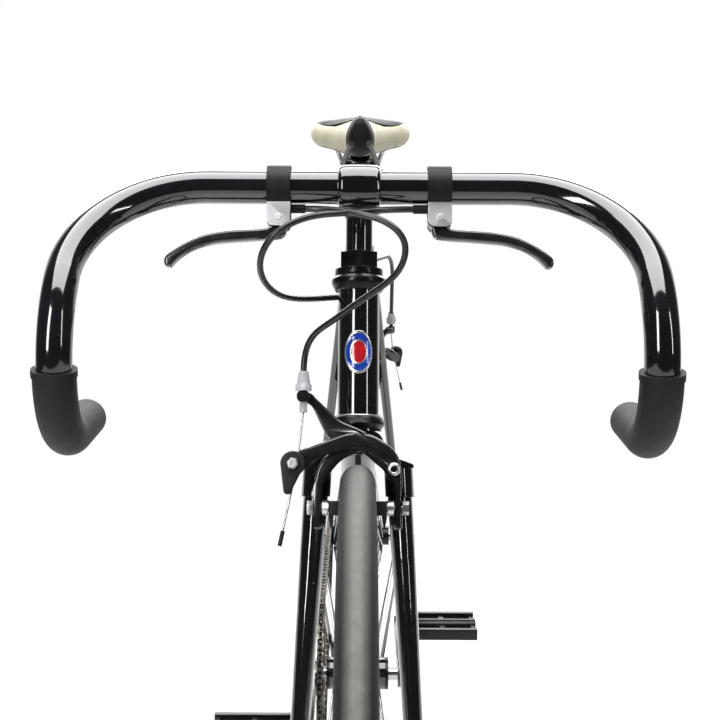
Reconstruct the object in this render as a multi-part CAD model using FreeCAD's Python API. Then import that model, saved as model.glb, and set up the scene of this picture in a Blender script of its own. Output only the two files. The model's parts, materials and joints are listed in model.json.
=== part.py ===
import FreeCAD, Part
import math
import os

os.makedirs("parts", exist_ok=True)
Vector = FreeCAD.Vector

# Axes: +X rider's left, +Y rearward, +Z up; ground at Z 0, origin midway between the axles.
full_turn = 360.0

# fits between pieces
running_clearance = 0.05
air_gap = 0.4

# wheels, 700C with narrow clincher tyres
tyre_radius = 334.0
tyre_half_width = 11.7
tyre_wall = 2.2
tyre_bead_angle = 132.0
tyre_facets = 10
rim_half_width = 11.0
rim_wall = 1.8
rim_depth = 25.0
brake_track_spare = 6.4
rim_floor_half_width = 4.0
spoke_count = 32
spoke_radius = 1.0
spoke_crossings = 3
spoke_flange_gap = 2.6
nipple_radius = 2.0
nipple_length = 12.0
valve_radius = 3.0
valve_length = 34.0
flange_thickness = 3.0
hub_barrel_radius = 10.0
front_flange_radius = 19.0
front_flange_spacing = 70.0
front_hub_width = 86.0
front_dropout_spacing = 100.0
front_axle_radius = 4.5
rear_flange_radius = 24.0
rear_flange_spacing = 70.0
rear_hub_width = 94.0
rear_dropout_spacing = 120.0
rear_axle_radius = 5.0
bearing_step = 3.0
axle_end_length = 12.0
axle_tip_step = 0.3
axle_nut_radius = 8.5
axle_nut_length = 8.0
washer_radius = 10.5
washer_thickness = 2.0

# steering geometry
head_angle = 75.0
fork_rake = 31.0
tyre_crown_gap = 11.0
lower_cup_height = 12.0
crown_race_height = 1.6
locknut_lip = 1.6
head_tube_length = 104.5
head_tube_radius = 17.0
head_tube_wall = 2.2
steerer_radius = 12.7
steerer_wall = 1.6
cup_radius = 22.6
cup_waist_radius = 19.5
upper_cup_height = 13.0
top_race_height = 5.0
locknut_height = 14.0
locknut_radius = 17.4
crown_thickness = 19.0
crown_half_width = 45.0
crown_depth = 28.0
crown_shoulder_drop = 30.0
crown_tip_drop = 53.0
crown_neck_half_width = 17.0
crown_waist_half_width = 26.0
crown_waist_drop = 20.0
crown_round_share = 0.3
crown_gap_half_width = 21.5
socket_lip = 2.0
blade_top_offset = 34.5
blade_bottom_offset = 53.0
blade_width = 19.7
blade_depth = 27.0
blade_tip_radius = 6.5
blade_bend_share = 0.38
fork_end_thickness = 5.0
fork_end_width = 24.0

# stem, handlebar and grips
quill_radius = 11.1
quill_insert_length = 70.0
stem_height = 57.0
stem_extension = 95.5
stem_neck_radius = 11.8
stem_barrel_radius = 17.0
barrel_ease = 3.6
stem_barrel_width = 33.0
stem_bolt_radius = 3.0
bar_radius = 12.7
bar_wall = 1.6
bar_half_width = 211.0
bar_top_bend = 95.0
bar_hook_bend = 70.0
bar_ramp_angle = 40.0
bar_end_length = 62.0
bar_flare_angle = 2.0
bar_joint_length = 2.0
grip_wall = 2.8
grip_start_angle = 58.0
grip_bead = 0.8
grip_bead_width = 5.0
grip_end_thickness = 3.0

# frame
bottom_bracket_drop = 58.0
seat_angle = 74.5
seat_tube_length = 532.0
seat_tube_radius = 14.3
top_tube_radius = 14.3
top_tube_below_end = 26.0
down_tube_radius = 15.9
down_tube_above_end = 34.0
down_tube_tyre_gap = 20.9
tube_wall = 0.9
shell_radius = 19.5
shell_width = 68.0
shell_bore_radius = 17.0
cup_flange_thickness = 4.0
cup_bearing_length = 12.0
chain_stay_radius = 8.0
chain_stay_tip_radius = 6.0
chain_stay_start_offset = 22.0
stay_end_offset = 63.0
seat_stay_radius = 7.2
seat_stay_tip_radius = 5.6
seat_stay_start_offset = 15.5
seat_stay_drop = 22.0
dropout_thickness = 6.0
dropout_length = 34.0
dropout_height = 32.0
chain_stay_bridge_share = 0.13
bridge_radius = 5.0
collar_width = 14.0
collar_wall = 4.0
collar_bolt_radius = 3.0

# seat
seatpost_radius = 13.4
seatpost_length = 230.0
seatpost_rise = 106.0
post_head_radius = 11.0
post_head_width = 50.0
post_clamp_bolt_radius = 3.5
rail_radius = 3.5
rail_half_gap = 22.0
rail_flat_length = 90.0
rail_bend = 30.0
rail_end_rise = 24.0
rail_nose_reach = 150.0
rail_tail_reach = 118.0
saddle_length = 275.0
saddle_width = 142.0
saddle_height = 48.0
saddle_rail_height = 36.0
saddle_station_shares = [-0.56, -0.50, -0.30, -0.08, 0.12, 0.30, 0.40, 0.44]
saddle_width_shares = [0.16, 0.25, 0.29, 0.40, 0.72, 0.98, 0.96, 0.78]
saddle_skirt_shares = [0.62, 0.95, 1.00, 0.96, 0.86, 0.78, 0.68, 0.46]
saddle_crown_shares = [0.86, 0.98, 0.96, 0.97, 1.02, 1.08, 1.04, 0.90]
saddle_tuck_share = 0.80
saddle_flat_share = 0.55

# drive train
chain_pitch = 12.7
chain_least_links = 96
ring_teeth = 48
sprocket_teeth = 16
chain_line = 43.5
chain_inner_width = 3.3
chain_plate_thickness = 1.1
chain_plate_gap = 0.1
chain_plate_height = 8.4
chain_plate_overhang = 4.0
roller_radius = 3.9
tooth_thickness = 2.5
tooth_root_depth = 4.3
tooth_tip_rise = 3.4
tooth_root_half_width = 3.2
tooth_tip_half_width = 0.9
ring_band = 16.0
ring_thickness = 2.6
lockring_radius = 17.5
lockring_thickness = 4.5
spider_arms = 5
spider_arm_width = 15.0
spider_thickness = 5.0
crank_length = 165.0
crank_boss_radius = 17.0
crank_end_radius = 13.0
crank_thickness = 14.0
crank_width = 22.0
crank_bolt_radius = 9.6
crank_bolt_head = 4.0
ring_bolt_radius = 4.0
ring_bolt_margin = 2.5
spindle_radius = 8.5
pedal_axle_radius = 5.5
pedal_axle_length = 84.0
pedal_collar_length = 5.0
pedal_length = 92.0
pedal_width = 70.0
pedal_thickness = 15.0
pedal_core_radius = 9.5
pedal_rail_width = 7.0

# calipers, in the plane of each brake: across, up, outward
brake_bolt_radius = 3.0
brake_bolt_drop = 8.0
brake_back_gap = 3.0
brake_plate_thickness = 5.0
brake_layer_gap = 0.6
lower_arm_thickness = 7.0
upper_arm_thickness = 8.0
brake_reach = 50.0
side_pivot_shares = (0.567, -0.47)
side_pivot_radius = 5.2
centre_boss_radius = 7.0
bolt_head_radius = 5.6
bolt_head_height = 3.0
arm_round_share = 0.42
lower_arm_shares = [
    (-1.14, -0.50), (-1.12, -0.28), (-0.88, -0.16), (-0.50, -0.02), (-0.20, 0.09), (0.02, 0.12), (0.26, 0.06),
    (0.50, -0.09), (0.66, -0.28), (0.705, -0.58), (0.705, -1.42), (0.565, -1.42), (0.565, -0.72),
    (0.42, -0.52), (0.32, -0.33), (0.18, -0.20), (-0.02, -0.165), (-0.34, -0.19), (-0.62, -0.30),
    (-0.90, -0.52)]
upper_arm_shares = [
    (-0.565, -0.80), (-0.565, -1.42), (-0.705, -1.42), (-0.705, -0.72), (-0.66, -0.48), (-0.56, -0.30),
    (-0.30, -0.10),
    (-0.50, 0.04), (-0.66, 0.37), (-0.76, 0.58), (-0.97, 0.58), (-0.97, 0.76), (-0.77, 0.76),
    (-0.56, 0.55), (-0.29, 0.30), (0.0, 0.19), (0.17, 0.10), (0.19, -0.10), (0.0, -0.20), (-0.26, -0.31),
    (-0.46, -0.54)]
leg_inner_share = 0.565
leg_outer_share = 0.705
boss_shares = [(-0.97, 0.58), (-0.97, 0.76), (-0.77, 0.76), (-0.77, 0.58)]
adjuster_share = -0.87
adjuster_foot_share = 0.76
boss_foot_share = 0.58
adjuster_top_radius = 3.9
adjuster_radius = 5.5
adjuster_knurl_radius = 6.4
adjuster_knurl_length = 5.0
adjuster_length = 15.5
adjuster_bore_radius = 2.0
adjuster_thread_radius = 3.0
adjuster_thread_length = 8.0
anchor_shares = (-1.02, -0.39)
anchor_radius = 4.0
anchor_pin_radius = 2.0
anchor_length = 3.6
release_radius = 9.8
release_thickness = 6.0
release_tail_length = 21.0
release_tail_radius = 3.2
release_lean_share = 0.19
shoe_centre_share = -1.08
shoe_gap = 2.2
shoe_rubber_thickness = 5.5
shoe_holder_thickness = 3.5
shoe_height = 11.0
shoe_length = 50.0
shoe_fin_drop = 10.0
shoe_fin_radius = 2.8
shoe_fin_tip_radius = 0.5
shoe_stud_radius = 3.0
shoe_nut_radius = 5.5
shoe_nut_length = 5.0
shoe_washer_radius = 6.0
wire_radius = 0.8
housing_radius = 2.5
ferrule_radius = 3.4
ferrule_length = 11.0
wire_tail_shares = (-1.17, -1.44)
wire_bend = 30.0
wire_cap_radius = 1.7
wire_cap_length = 12.0
rear_bolt_gap = 23.0

# top mounted brake levers
lever_offset = 61.0
lever_clamp_width = 18.0
lever_clamp_wall = 4.0
lever_tilt = 20.0
lever_pivot_drop = 26.0
lever_cheek = 4.0
lever_thickness = 9.0
lever_pin_radius = 2.5
lever_body_drop = 33.0
lever_boss_radius = 6.5
clamp_round_share = 0.3
blade_round_share = 0.45
lever_reach = 86.0
lever_blade_shares = [
    (0.0, 0.06), (0.13, 0.09), (0.31, 0.10), (0.47, 0.11), (0.67, 0.15), (0.82, 0.22), (0.94, 0.30),
    (1.0, 0.36), (0.99, 0.43), (0.94, 0.44), (0.87, 0.36), (0.76, 0.28), (0.58, 0.22), (0.35, 0.20),
    (0.22, 0.19), (0.05, 0.18), (-0.06, 0.16), (-0.08, 0.06)]
ferrule_drop = 17.0
cable_stop_radius = 4.5
cable_stop_length = 9.0

# runs of brake cable, as shares of the bar's half width from the middle of the bar
front_loop_shares = (0.2275, -0.1517, -0.1564)
rear_loop_first_shares = (-0.1185, -0.1896, -0.0900)
rear_loop_second_shares = (-0.3790, -0.2227, -0.1943)
rear_loop_third_shares = (-0.3650, 0.1706, -0.4265)
ferrule_run_length = 14.0
ferrule_bend = 40.0
front_loop_bend = 26.0
adjuster_bend = 45.0
adjuster_run_length = 40.0
rear_loop_first_bend = 70.0
rear_loop_second_bend = 30.0
rear_loop_third_bend = 50.0
rear_loop_last_bend = 32.0
rear_loop_last_run = 27.0
rear_stay_run_length = 95.0
rear_stay_bend = 60.0
rear_stop_bend = 90.0
rear_stop_run = 34.0
front_stop_share = 0.125
rear_stop_share = 0.70

across_axis = Vector(1, 0, 0)
back_axis = Vector(0, 1, 0)
up_axis = Vector(0, 0, 1)
origin = Vector(0, 0, 0)
nodes = {}


def rod(start, end, radius):
    return Part.makeCylinder(radius, start.distanceToPoint(end), start, end - start)


def taper(start, end, radius, end_radius):
    return Part.makeCone(radius, end_radius, start.distanceToPoint(end), start, end - start)


def tube(start, end, radius, inner_radius):
    return rod(start, end, radius).cut(rod(start, end, inner_radius))


def hex_rod(start, end, radius):
    heading = (end - start).normalize()
    side = heading.cross(across_axis)
    if side.Length < math.sin(math.radians(1)):
        side = heading.cross(up_axis)
    corners = []
    for step in range(6):
        spin = FreeCAD.Rotation(heading, step * full_turn / 6)
        corners.append(start + spin.multVec(side.normalize() * radius))
    return slab(corners, end - start)


def slab(corners, depth):
    return Part.Face(Part.makePolygon(corners + corners[:1])).extrude(depth)


def rounded_slab(corners, depth, round_share):
    edges = []
    first = None
    here = None
    for before, corner, after in zip(corners[-1:] + corners[:-1], corners, corners[1:] + corners[:1]):
        inward = before - corner
        outward = after - corner
        reach = min(inward.Length, outward.Length) * round_share
        inward.normalize()
        outward.normalize()
        half = inward.getAngle(outward) / 2
        radius = reach * math.tan(half)
        start = corner + inward * reach
        end = corner + outward * reach
        middle = corner + (inward + outward).normalize() * (radius / math.sin(half) - radius)
        if here is None:
            first = start
        else:
            edges.append(Part.LineSegment(here, start).toShape())
        edges.append(Part.Arc(start, middle, end).toShape())
        here = end
    edges.append(Part.LineSegment(here, first).toShape())
    return Part.Face(Part.Wire(edges)).extrude(depth)


def turned(profile, base, axis, side):
    corners = [base + side * radius + axis * height for radius, height in profile]
    return Part.Face(Part.makePolygon(corners + corners[:1])).revolve(base, axis, full_turn)


def joined(pieces):
    return pieces[0].multiFuse(pieces[1:]).removeSplitter()


def group(pieces):
    solids = []
    for piece in pieces:
        solids.extend(piece.Solids)
    return Part.makeCompound(solids)


def tangent_length(inward, outward, radius):
    return radius * math.tan(inward.getAngle(outward) / 2)


def bent(points, bends, radius):
    pieces = []
    here = points[0]
    for before, corner, after, bend in zip(points, points[1:], points[2:], bends):
        inward = (corner - before).normalize()
        outward = (after - corner).normalize()
        half = inward.getAngle(outward) / 2
        start = corner - inward * tangent_length(inward, outward, bend)
        end = corner + outward * tangent_length(inward, outward, bend)
        centre = corner + (outward - inward).normalize() * (bend / math.cos(half))
        disc = Part.Face(Part.Wire(Part.makeCircle(radius, start, inward)))
        pieces.append(rod(here, start, radius))
        pieces.append(disc.revolve(centre, inward.cross(outward), math.degrees(2 * half)))
        here = end
    pieces.append(rod(here, points[-1], radius))
    return joined(pieces)


def mirrored(shape):
    return shape.mirror(origin, across_axis)


def both_sides(shape):
    return group([shape, mirrored(shape)])


# the chain's whole number of links sets the distance from bottom bracket to rear axle
ring_pitch_radius = chain_pitch / 2 / math.sin(math.pi / ring_teeth)
sprocket_pitch_radius = chain_pitch / 2 / math.sin(math.pi / sprocket_teeth)
pitch_radius_step = ring_pitch_radius - sprocket_pitch_radius


def links_for(distance):
    lean = math.asin(pitch_radius_step / distance)
    ring_links = ring_teeth * (1 / 2 + lean / math.pi)
    sprocket_links = sprocket_teeth * (1 / 2 - lean / math.pi)
    return 2 * distance * math.cos(lean) / chain_pitch + ring_links + sprocket_links


def stay_for(links):
    near_distance = ring_pitch_radius + sprocket_pitch_radius
    far_distance = links * chain_pitch / 2
    for attempt in range(60):
        middle_distance = (near_distance + far_distance) / 2
        if links_for(middle_distance) < links:
            near_distance = middle_distance
        else:
            far_distance = middle_distance
    return (near_distance + far_distance) / 2


def reach_of(distance):
    return math.sqrt(distance ** 2 - bottom_bracket_drop ** 2)


# pairs of links are added until the rear tyre clears the seat tube as it clears the fork crown
seat_lean = math.radians(seat_angle)
seat_tube_distance = tyre_radius + tyre_crown_gap + seat_tube_radius
chain_links = chain_least_links
stay_length = stay_for(chain_links)
drop_part = bottom_bracket_drop * math.cos(seat_lean)
while reach_of(stay_length) * math.sin(seat_lean) - drop_part < seat_tube_distance:
    chain_links = chain_links + 2
    stay_length = stay_for(chain_links)
stay_reach = reach_of(stay_length)

# main points of the bicycle
head_lean = math.radians(head_angle)
steer_up = Vector(0, math.cos(head_lean), math.sin(head_lean))
steer_forward = Vector(0, -math.sin(head_lean), math.cos(head_lean))
seat_up = Vector(0, math.cos(seat_lean), math.sin(seat_lean))
crown_seat_height = tyre_radius + tyre_crown_gap + crown_thickness
brake_bolt_height = crown_seat_height - brake_bolt_drop
rear_brake_radius = tyre_radius + rear_bolt_gap
head_low = crown_seat_height + lower_cup_height

# the down tube passes behind the front tyre at its gap, and that sets the distance between the axles
tube_top = steer_up * (head_low + down_tube_above_end) - steer_forward * fork_rake
tube_distance = tyre_radius + down_tube_tyre_gap + down_tube_radius
tube_heading = math.atan2(tube_top.z, tube_top.y) + math.pi + math.asin(tube_distance / tube_top.Length)
tube_fall = (tube_top.z + bottom_bracket_drop) / math.sin(tube_heading)
wheelbase = tube_top.y - math.cos(tube_heading) * tube_fall + stay_reach
front_axle_point = Vector(0, -wheelbase / 2, tyre_radius)
rear_axle_point = Vector(0, wheelbase / 2, tyre_radius)
steer_foot = front_axle_point - steer_forward * fork_rake


def steer_at(across, forward, height):
    return steer_foot + across_axis * across + steer_forward * forward + steer_up * height


head_high = head_low + head_tube_length
race_low = head_high + upper_cup_height + air_gap
locknut_low = race_low + top_race_height
locknut_high = locknut_low + locknut_height
stem_level = locknut_high + stem_height
bar_centre = steer_at(0, 0, stem_level) - back_axis * stem_extension

bracket_point = rear_axle_point - back_axis * stay_reach - up_axis * bottom_bracket_drop
seat_top = bracket_point + seat_up * seat_tube_length

# head tube and main tubes, mitred where they meet
head_start = steer_at(0, 0, head_low)
head_end = steer_at(0, 0, head_high)
head_rod = rod(head_start, head_end, head_tube_radius)
nodes["head_tube"] = tube(head_start, head_end, head_tube_radius, head_tube_radius - head_tube_wall)
seat_bore_radius = seatpost_radius + running_clearance
seat_rod = rod(bracket_point, seat_top, seat_tube_radius)
shell_rod = rod(bracket_point - across_axis * shell_width / 2, bracket_point + across_axis * shell_width / 2,
                shell_radius)
nodes["seat_tube"] = tube(bracket_point, seat_top, seat_tube_radius, seat_bore_radius).cut(shell_rod)
nodes["bottom_bracket_shell"] = shell_rod.cut(rod(
    bracket_point - across_axis * shell_width / 2, bracket_point + across_axis * shell_width / 2,
    shell_bore_radius))

top_tube_start = steer_at(0, 0, head_high - top_tube_below_end)
top_tube_end = bracket_point + seat_up * ((top_tube_start.z - bracket_point.z) / seat_up.z)
top_tube_run = top_tube_end - top_tube_start
stop_lift = up_axis * (top_tube_radius + cable_stop_radius - tube_wall)
front_stop_point = top_tube_start + top_tube_run * front_stop_share + stop_lift
rear_stop_point = top_tube_start + top_tube_run * rear_stop_share + stop_lift
half_stop = back_axis * cable_stop_length / 2
stop_bodies = []
stop_bores = []
for stop_point in (front_stop_point, rear_stop_point):
    stop_bodies.append(rod(stop_point - half_stop, stop_point + half_stop, cable_stop_radius))
    stop_bores.append(rod(stop_point - half_stop, stop_point + half_stop, wire_radius + air_gap))
top_tube = joined([rod(top_tube_start, top_tube_end, top_tube_radius)] + stop_bodies)
top_tube = top_tube.cut(rod(top_tube_start, top_tube_end, top_tube_radius - tube_wall))
nodes["top_tube"] = top_tube.cut(head_rod).cut(seat_rod).cut(stop_bores[0]).cut(stop_bores[1])

down_tube_start = steer_at(0, 0, head_low + down_tube_above_end)
down_tube = tube(down_tube_start, bracket_point, down_tube_radius, down_tube_radius - tube_wall)
nodes["down_tube"] = down_tube.cut(head_rod).cut(seat_rod).cut(shell_rod)

# track ends, chain stays and seat stays
end_inner = rear_dropout_spacing / 2
slot_half = rear_axle_radius + running_clearance * 2


def rear_at(across, back, rise):
    return rear_axle_point + Vector(across, back, rise)


def track_end(side):
    corners = [
        rear_at(side * end_inner, -dropout_length, -dropout_height / 2),
        rear_at(side * end_inner, dropout_length, -dropout_height / 2),
        rear_at(side * end_inner, dropout_length, dropout_height / 2),
        rear_at(side * end_inner, 0, dropout_height / 2),
        rear_at(side * end_inner, -dropout_length / 2, dropout_length),
        rear_at(side * end_inner, -dropout_length, dropout_length / 2)]
    plate = slab(corners, across_axis * side * dropout_thickness)
    slot = [
        rear_at(side * end_inner, 0, -slot_half), rear_at(side * end_inner, dropout_length, -slot_half),
        rear_at(side * end_inner, dropout_length, slot_half), rear_at(side * end_inner, 0, slot_half)]
    end_outer = end_inner + dropout_thickness
    round_end = rod(rear_at(side * end_inner, 0, 0), rear_at(side * end_outer, 0, 0), slot_half)
    return plate.cut(slab(slot, across_axis * side * dropout_thickness)).cut(round_end)


def chain_stay(side):
    start = bracket_point + across_axis * side * chain_stay_start_offset
    end = rear_at(side * stay_end_offset, -dropout_length * 2 / 3, 0)
    return taper(start, end, chain_stay_radius, chain_stay_tip_radius).cut(shell_rod)


stay_spread = stay_end_offset - chain_stay_start_offset
bridge_offset = chain_stay_start_offset + stay_spread * chain_stay_bridge_share
bridge_point = bracket_point + (rear_axle_point - bracket_point) * chain_stay_bridge_share
nodes["chain_stays"] = joined([
    chain_stay(1), chain_stay(-1), track_end(1), track_end(-1),
    rod(bridge_point - across_axis * bridge_offset, bridge_point + across_axis * bridge_offset,
        bridge_radius)])

stay_top = seat_top - seat_up * seat_stay_drop
stay_foot = rear_at(0, -dropout_length / 2, dropout_length * 2 / 3)
stay_up = (stay_top - stay_foot).normalize()
stay_out = across_axis.cross(stay_up).negative()
if stay_out.y < 0:
    stay_out = stay_out.negative()
seat_stays = []
for side in (1, -1):
    seat_stays.append(taper(
        stay_top + across_axis * side * seat_stay_start_offset,
        stay_foot + across_axis * side * stay_end_offset,
        seat_stay_radius, seat_stay_tip_radius))
stay_run = stay_foot.distanceToPoint(stay_top)
bridge_height = rear_brake_radius - stay_foot.distanceToPoint(rear_axle_point)
rear_bridge_point = stay_foot + stay_up * bridge_height
bridge_share = bridge_height / stay_run
rear_bridge_offset = stay_end_offset + (seat_stay_start_offset - stay_end_offset) * bridge_share
bridge_ends = across_axis * rear_bridge_offset
rear_bridge_radius = bridge_radius + bearing_step
rear_bridge = rod(rear_bridge_point - bridge_ends, rear_bridge_point + bridge_ends, rear_bridge_radius)
bolt_hole = rod(rear_bridge_point - stay_out * crown_depth, rear_bridge_point + stay_out * crown_depth,
                brake_bolt_radius)
seat_stay_shape = joined(seat_stays + [rear_bridge]).cut(seat_rod).cut(top_tube).cut(bolt_hole)
nodes["seat_stays"] = seat_stay_shape.cut(nodes["chain_stays"])

# headset, bottom bracket cups and seat collar
cup_core = steerer_radius + running_clearance
lower_cup_foot = crown_race_height + air_gap
nodes["headset_cups"] = group([
    turned([(cup_core, lower_cup_foot), (cup_waist_radius, lower_cup_foot),
            (cup_radius, lower_cup_height / 2), (cup_waist_radius, lower_cup_height),
            (cup_core, lower_cup_height)],
           steer_at(0, 0, crown_seat_height), steer_up, across_axis),
    turned([(cup_core, 0), (cup_waist_radius, 0), (cup_radius, upper_cup_height / 2),
            (cup_radius, upper_cup_height * 3 / 4), (cup_waist_radius, upper_cup_height),
            (cup_core, upper_cup_height)],
           steer_at(0, 0, head_high), steer_up, across_axis)])
cup_pieces = []
for side in (1, -1):
    face = bracket_point + across_axis * side * shell_width / 2
    flange_end = face + across_axis * side * cup_flange_thickness
    flange = tube(face, flange_end, shell_radius, spindle_radius + running_clearance)
    sleeve = tube(face - across_axis * side * cup_bearing_length, face, shell_bore_radius,
                  spindle_radius + running_clearance)
    cup_pieces.append(joined([flange, sleeve]))
nodes["bottom_bracket_cups"] = group(cup_pieces)
collar_start = seat_top - seat_up * collar_width / 2
collar_end = seat_top + seat_up * collar_width / 2
collar = tube(collar_start, collar_end, seat_tube_radius + collar_wall, seat_tube_radius)
collar_bolt_point = seat_top + back_axis * (seat_tube_radius + collar_wall)
lug_half = across_axis * (collar_wall * 2)
lug = rod(collar_bolt_point - lug_half, collar_bolt_point + lug_half, collar_width / 2)
bolt_half = across_axis * (collar_wall * 3)
collar_bolt = rod(collar_bolt_point - bolt_half, collar_bolt_point + bolt_half, collar_bolt_radius)
post_rod = rod(collar_start, collar_end + seat_up * collar_width, seat_bore_radius)
collar_shape = joined([collar, lug]).cut(rod(collar_start, collar_end, seat_tube_radius))
seat_collar = joined([collar_shape, collar_bolt]).cut(seat_rod).cut(post_rod)
nodes["seat_collar"] = seat_collar.cut(nodes["seat_stays"]).cut(top_tube)

# wheels: hub, laced spokes, rim and tyre around an axle
tyre_section_centre = tyre_radius - tyre_half_width
bead_turn = math.radians(tyre_bead_angle)
rim_edge = tyre_section_centre + tyre_half_width * math.cos(bead_turn)
rim_inner_half = tyre_half_width * math.sin(bead_turn)
rim_track_foot = rim_edge - shoe_height - brake_track_spare
rim_base = rim_edge - rim_depth


def arc_profile(radius, turns):
    return [(tyre_section_centre + radius * math.cos(turn), radius * math.sin(turn)) for turn in turns]


def tyre(point):
    turns = [bead_turn * (2 * step / tyre_facets - 1) for step in range(tyre_facets + 1)]
    inner_turns = turns[::-2]
    outer = arc_profile(tyre_half_width, turns)
    inner = arc_profile(tyre_half_width - tyre_wall, inner_turns)
    return turned(outer + inner, point, across_axis, up_axis)


def rim(point):
    outer = [(rim_edge, rim_half_width), (rim_track_foot, rim_half_width), (rim_base, rim_floor_half_width)]
    inner = [(rim_base + rim_wall, rim_floor_half_width - rim_wall), (rim_track_foot, rim_inner_half),
             (rim_edge, rim_inner_half)]
    right = [(radius, -offset) for radius, offset in outer]
    right_inner = [(radius, -offset) for radius, offset in inner]
    return turned(outer + right[::-1] + right_inner[::-1] + inner, point, across_axis, up_axis)


def on_wheel(point, radius, angle, across):
    turn = math.radians(angle)
    return point + Vector(across, radius * math.sin(turn), radius * math.cos(turn))


def spokes(point, flange_radius, flange_spacing):
    pieces = []
    pairs = spoke_count // 4
    step = full_turn / pairs
    hole_radius = flange_radius - flange_thickness
    lacing = spoke_crossings * step / 2
    for side in (1, -1):
        for pair in range(pairs):
            for lean in (1, -1):
                start_angle = pair * step + side * step / 8 + lean * step / 8
                end_angle = start_angle + lean * lacing
                start_across = side * (flange_spacing / 2 + lean * spoke_flange_gap)
                start = on_wheel(point, hole_radius, start_angle, start_across)
                end = on_wheel(point, rim_base, end_angle, side * rim_floor_half_width / 2)
                inner_end = end + (start - end).normalize() * nipple_length
                pieces.append(rod(start, inner_end, spoke_radius))
                pieces.append(hex_rod(inner_end, end, nipple_radius))
    return pieces


def hub(point, profile, bore_radius):
    whole = turned([(bore_radius, profile[0][1])] + profile + [(bore_radius, profile[-1][1])],
                   point, across_axis, up_axis)
    return whole


def hub_profile(half_width, drive_half_width, flange_radius, spacing, boss_radius):
    edge = spacing / 2
    half_flange = flange_thickness / 2
    return [
        (boss_radius, -drive_half_width), (boss_radius, -edge - half_flange),
        (flange_radius, -edge - half_flange), (flange_radius, -edge + half_flange),
        (hub_barrel_radius + half_flange, -edge + flange_thickness * 3),
        (hub_barrel_radius + half_flange, edge - flange_thickness * 3),
        (flange_radius, edge - half_flange), (flange_radius, edge + half_flange),
        (boss_radius, edge + half_flange), (boss_radius, half_width)]


def axle(point, radius, spacing, end_thickness):
    end = spacing / 2 + end_thickness + washer_thickness + axle_nut_length + axle_end_length
    nut_far = across_axis * (end - axle_end_length)
    tip_far = across_axis * end
    thread = rod(point - nut_far, point + nut_far, radius)
    shaft = joined([thread, rod(point - tip_far, point + tip_far, radius - axle_tip_step)])
    half = across_axis * spacing / 2
    return joined([shaft, rod(point - half, point + half, radius + bearing_step)])


def axle_nuts(point, radius, spacing, end_thickness):
    pieces = []
    for side in (1, -1):
        face = point + across_axis * side * (spacing / 2 + end_thickness)
        washer_end = face + across_axis * side * washer_thickness
        nut_end = washer_end + across_axis * side * axle_nut_length
        bore = rod(face, nut_end, radius)
        washer = rod(face, washer_end, washer_radius)
        pieces.append(joined([washer, hex_rod(washer_end, nut_end, axle_nut_radius)]).cut(bore))
    return group(pieces)


def valve(point):
    low = point - up_axis * (rim_base + rim_wall)
    return rod(low, low + up_axis * valve_length, valve_radius)


front_bore = front_axle_radius + bearing_step + running_clearance
rear_bore = rear_axle_radius + bearing_step + running_clearance
front_half = front_hub_width / 2
rear_half = rear_hub_width / 2
sprocket_outer_face = chain_line + ring_thickness / 2
rear_drive_half = sprocket_outer_face + lockring_thickness
for name, point, flange_radius, spacing, bore, half, drive_half, boss in (
        ("front", front_axle_point, front_flange_radius, front_flange_spacing,
         front_bore, front_half, front_half, hub_barrel_radius),
        ("rear", rear_axle_point, rear_flange_radius, rear_flange_spacing,
         rear_bore, rear_half, rear_drive_half, lockring_radius - bearing_step)):
    wheel_spokes = spokes(point, flange_radius, spacing)
    spoke_group = group(wheel_spokes)
    hub_shape = hub(point, hub_profile(half, drive_half, flange_radius, spacing, boss), bore)
    nodes[name + "_hub"] = hub_shape.cut(spoke_group)
    nodes[name + "_spokes"] = group(wheel_spokes + [valve(point)])
    nodes[name + "_rim"] = rim(point).cut(valve(point)).cut(spoke_group)
    nodes[name + "_tyre"] = tyre(point)
front_ends = (front_axle_point, front_axle_radius, front_dropout_spacing, fork_end_thickness)
rear_ends = (rear_axle_point, rear_axle_radius, rear_dropout_spacing, dropout_thickness)
nodes["front_axle"] = axle(*front_ends)
nodes["front_axle_nuts"] = axle_nuts(*front_ends)
nodes["rear_axle"] = axle(*rear_ends)
nodes["rear_axle_nuts"] = axle_nuts(*rear_ends)

# fork: crown with two sockets, raked oval blades, slotted ends and steerer
blade_top = crown_seat_height - crown_tip_drop
socket_top = crown_seat_height - crown_shoulder_drop


def blade_at(side, height):
    share = 1 - height / blade_top
    across = blade_top_offset + (blade_bottom_offset - blade_top_offset) * share
    bend_top = blade_top * blade_bend_share
    forward = fork_rake * max(0, 1 - height / bend_top) ** 2
    return side * across, forward


def oval(side, height, half_width, half_depth):
    across, forward = blade_at(side, height)
    centre = steer_at(across, forward, height)
    if half_depth >= half_width:
        curve = Part.Ellipse(centre + steer_forward * half_depth, centre + across_axis * half_width, centre)
    else:
        curve = Part.Ellipse(centre + across_axis * half_width, centre + steer_forward * half_depth, centre)
    return Part.Wire(curve.toShape())


def blade(side):
    rings = []
    low = fork_end_width
    for step in range(6):
        height = socket_top - (socket_top - low) * (step / 5)
        share = max(0, (step - 1) / 4)
        half_width = blade_width / 2 * (1 - share) + blade_tip_radius * share
        half_depth = blade_depth / 2 * (1 - share) + (blade_tip_radius + air_gap) * share
        rings.append(oval(side, height, half_width, half_depth))
    return Part.makeLoft(rings, True)


def socket(side):
    return Part.makeLoft([
        oval(side, socket_top, blade_width / 2 + socket_lip, blade_depth / 2 + socket_lip / 2),
        oval(side, blade_top, blade_width / 2 + socket_lip, blade_depth / 2 + socket_lip)], True)


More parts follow.
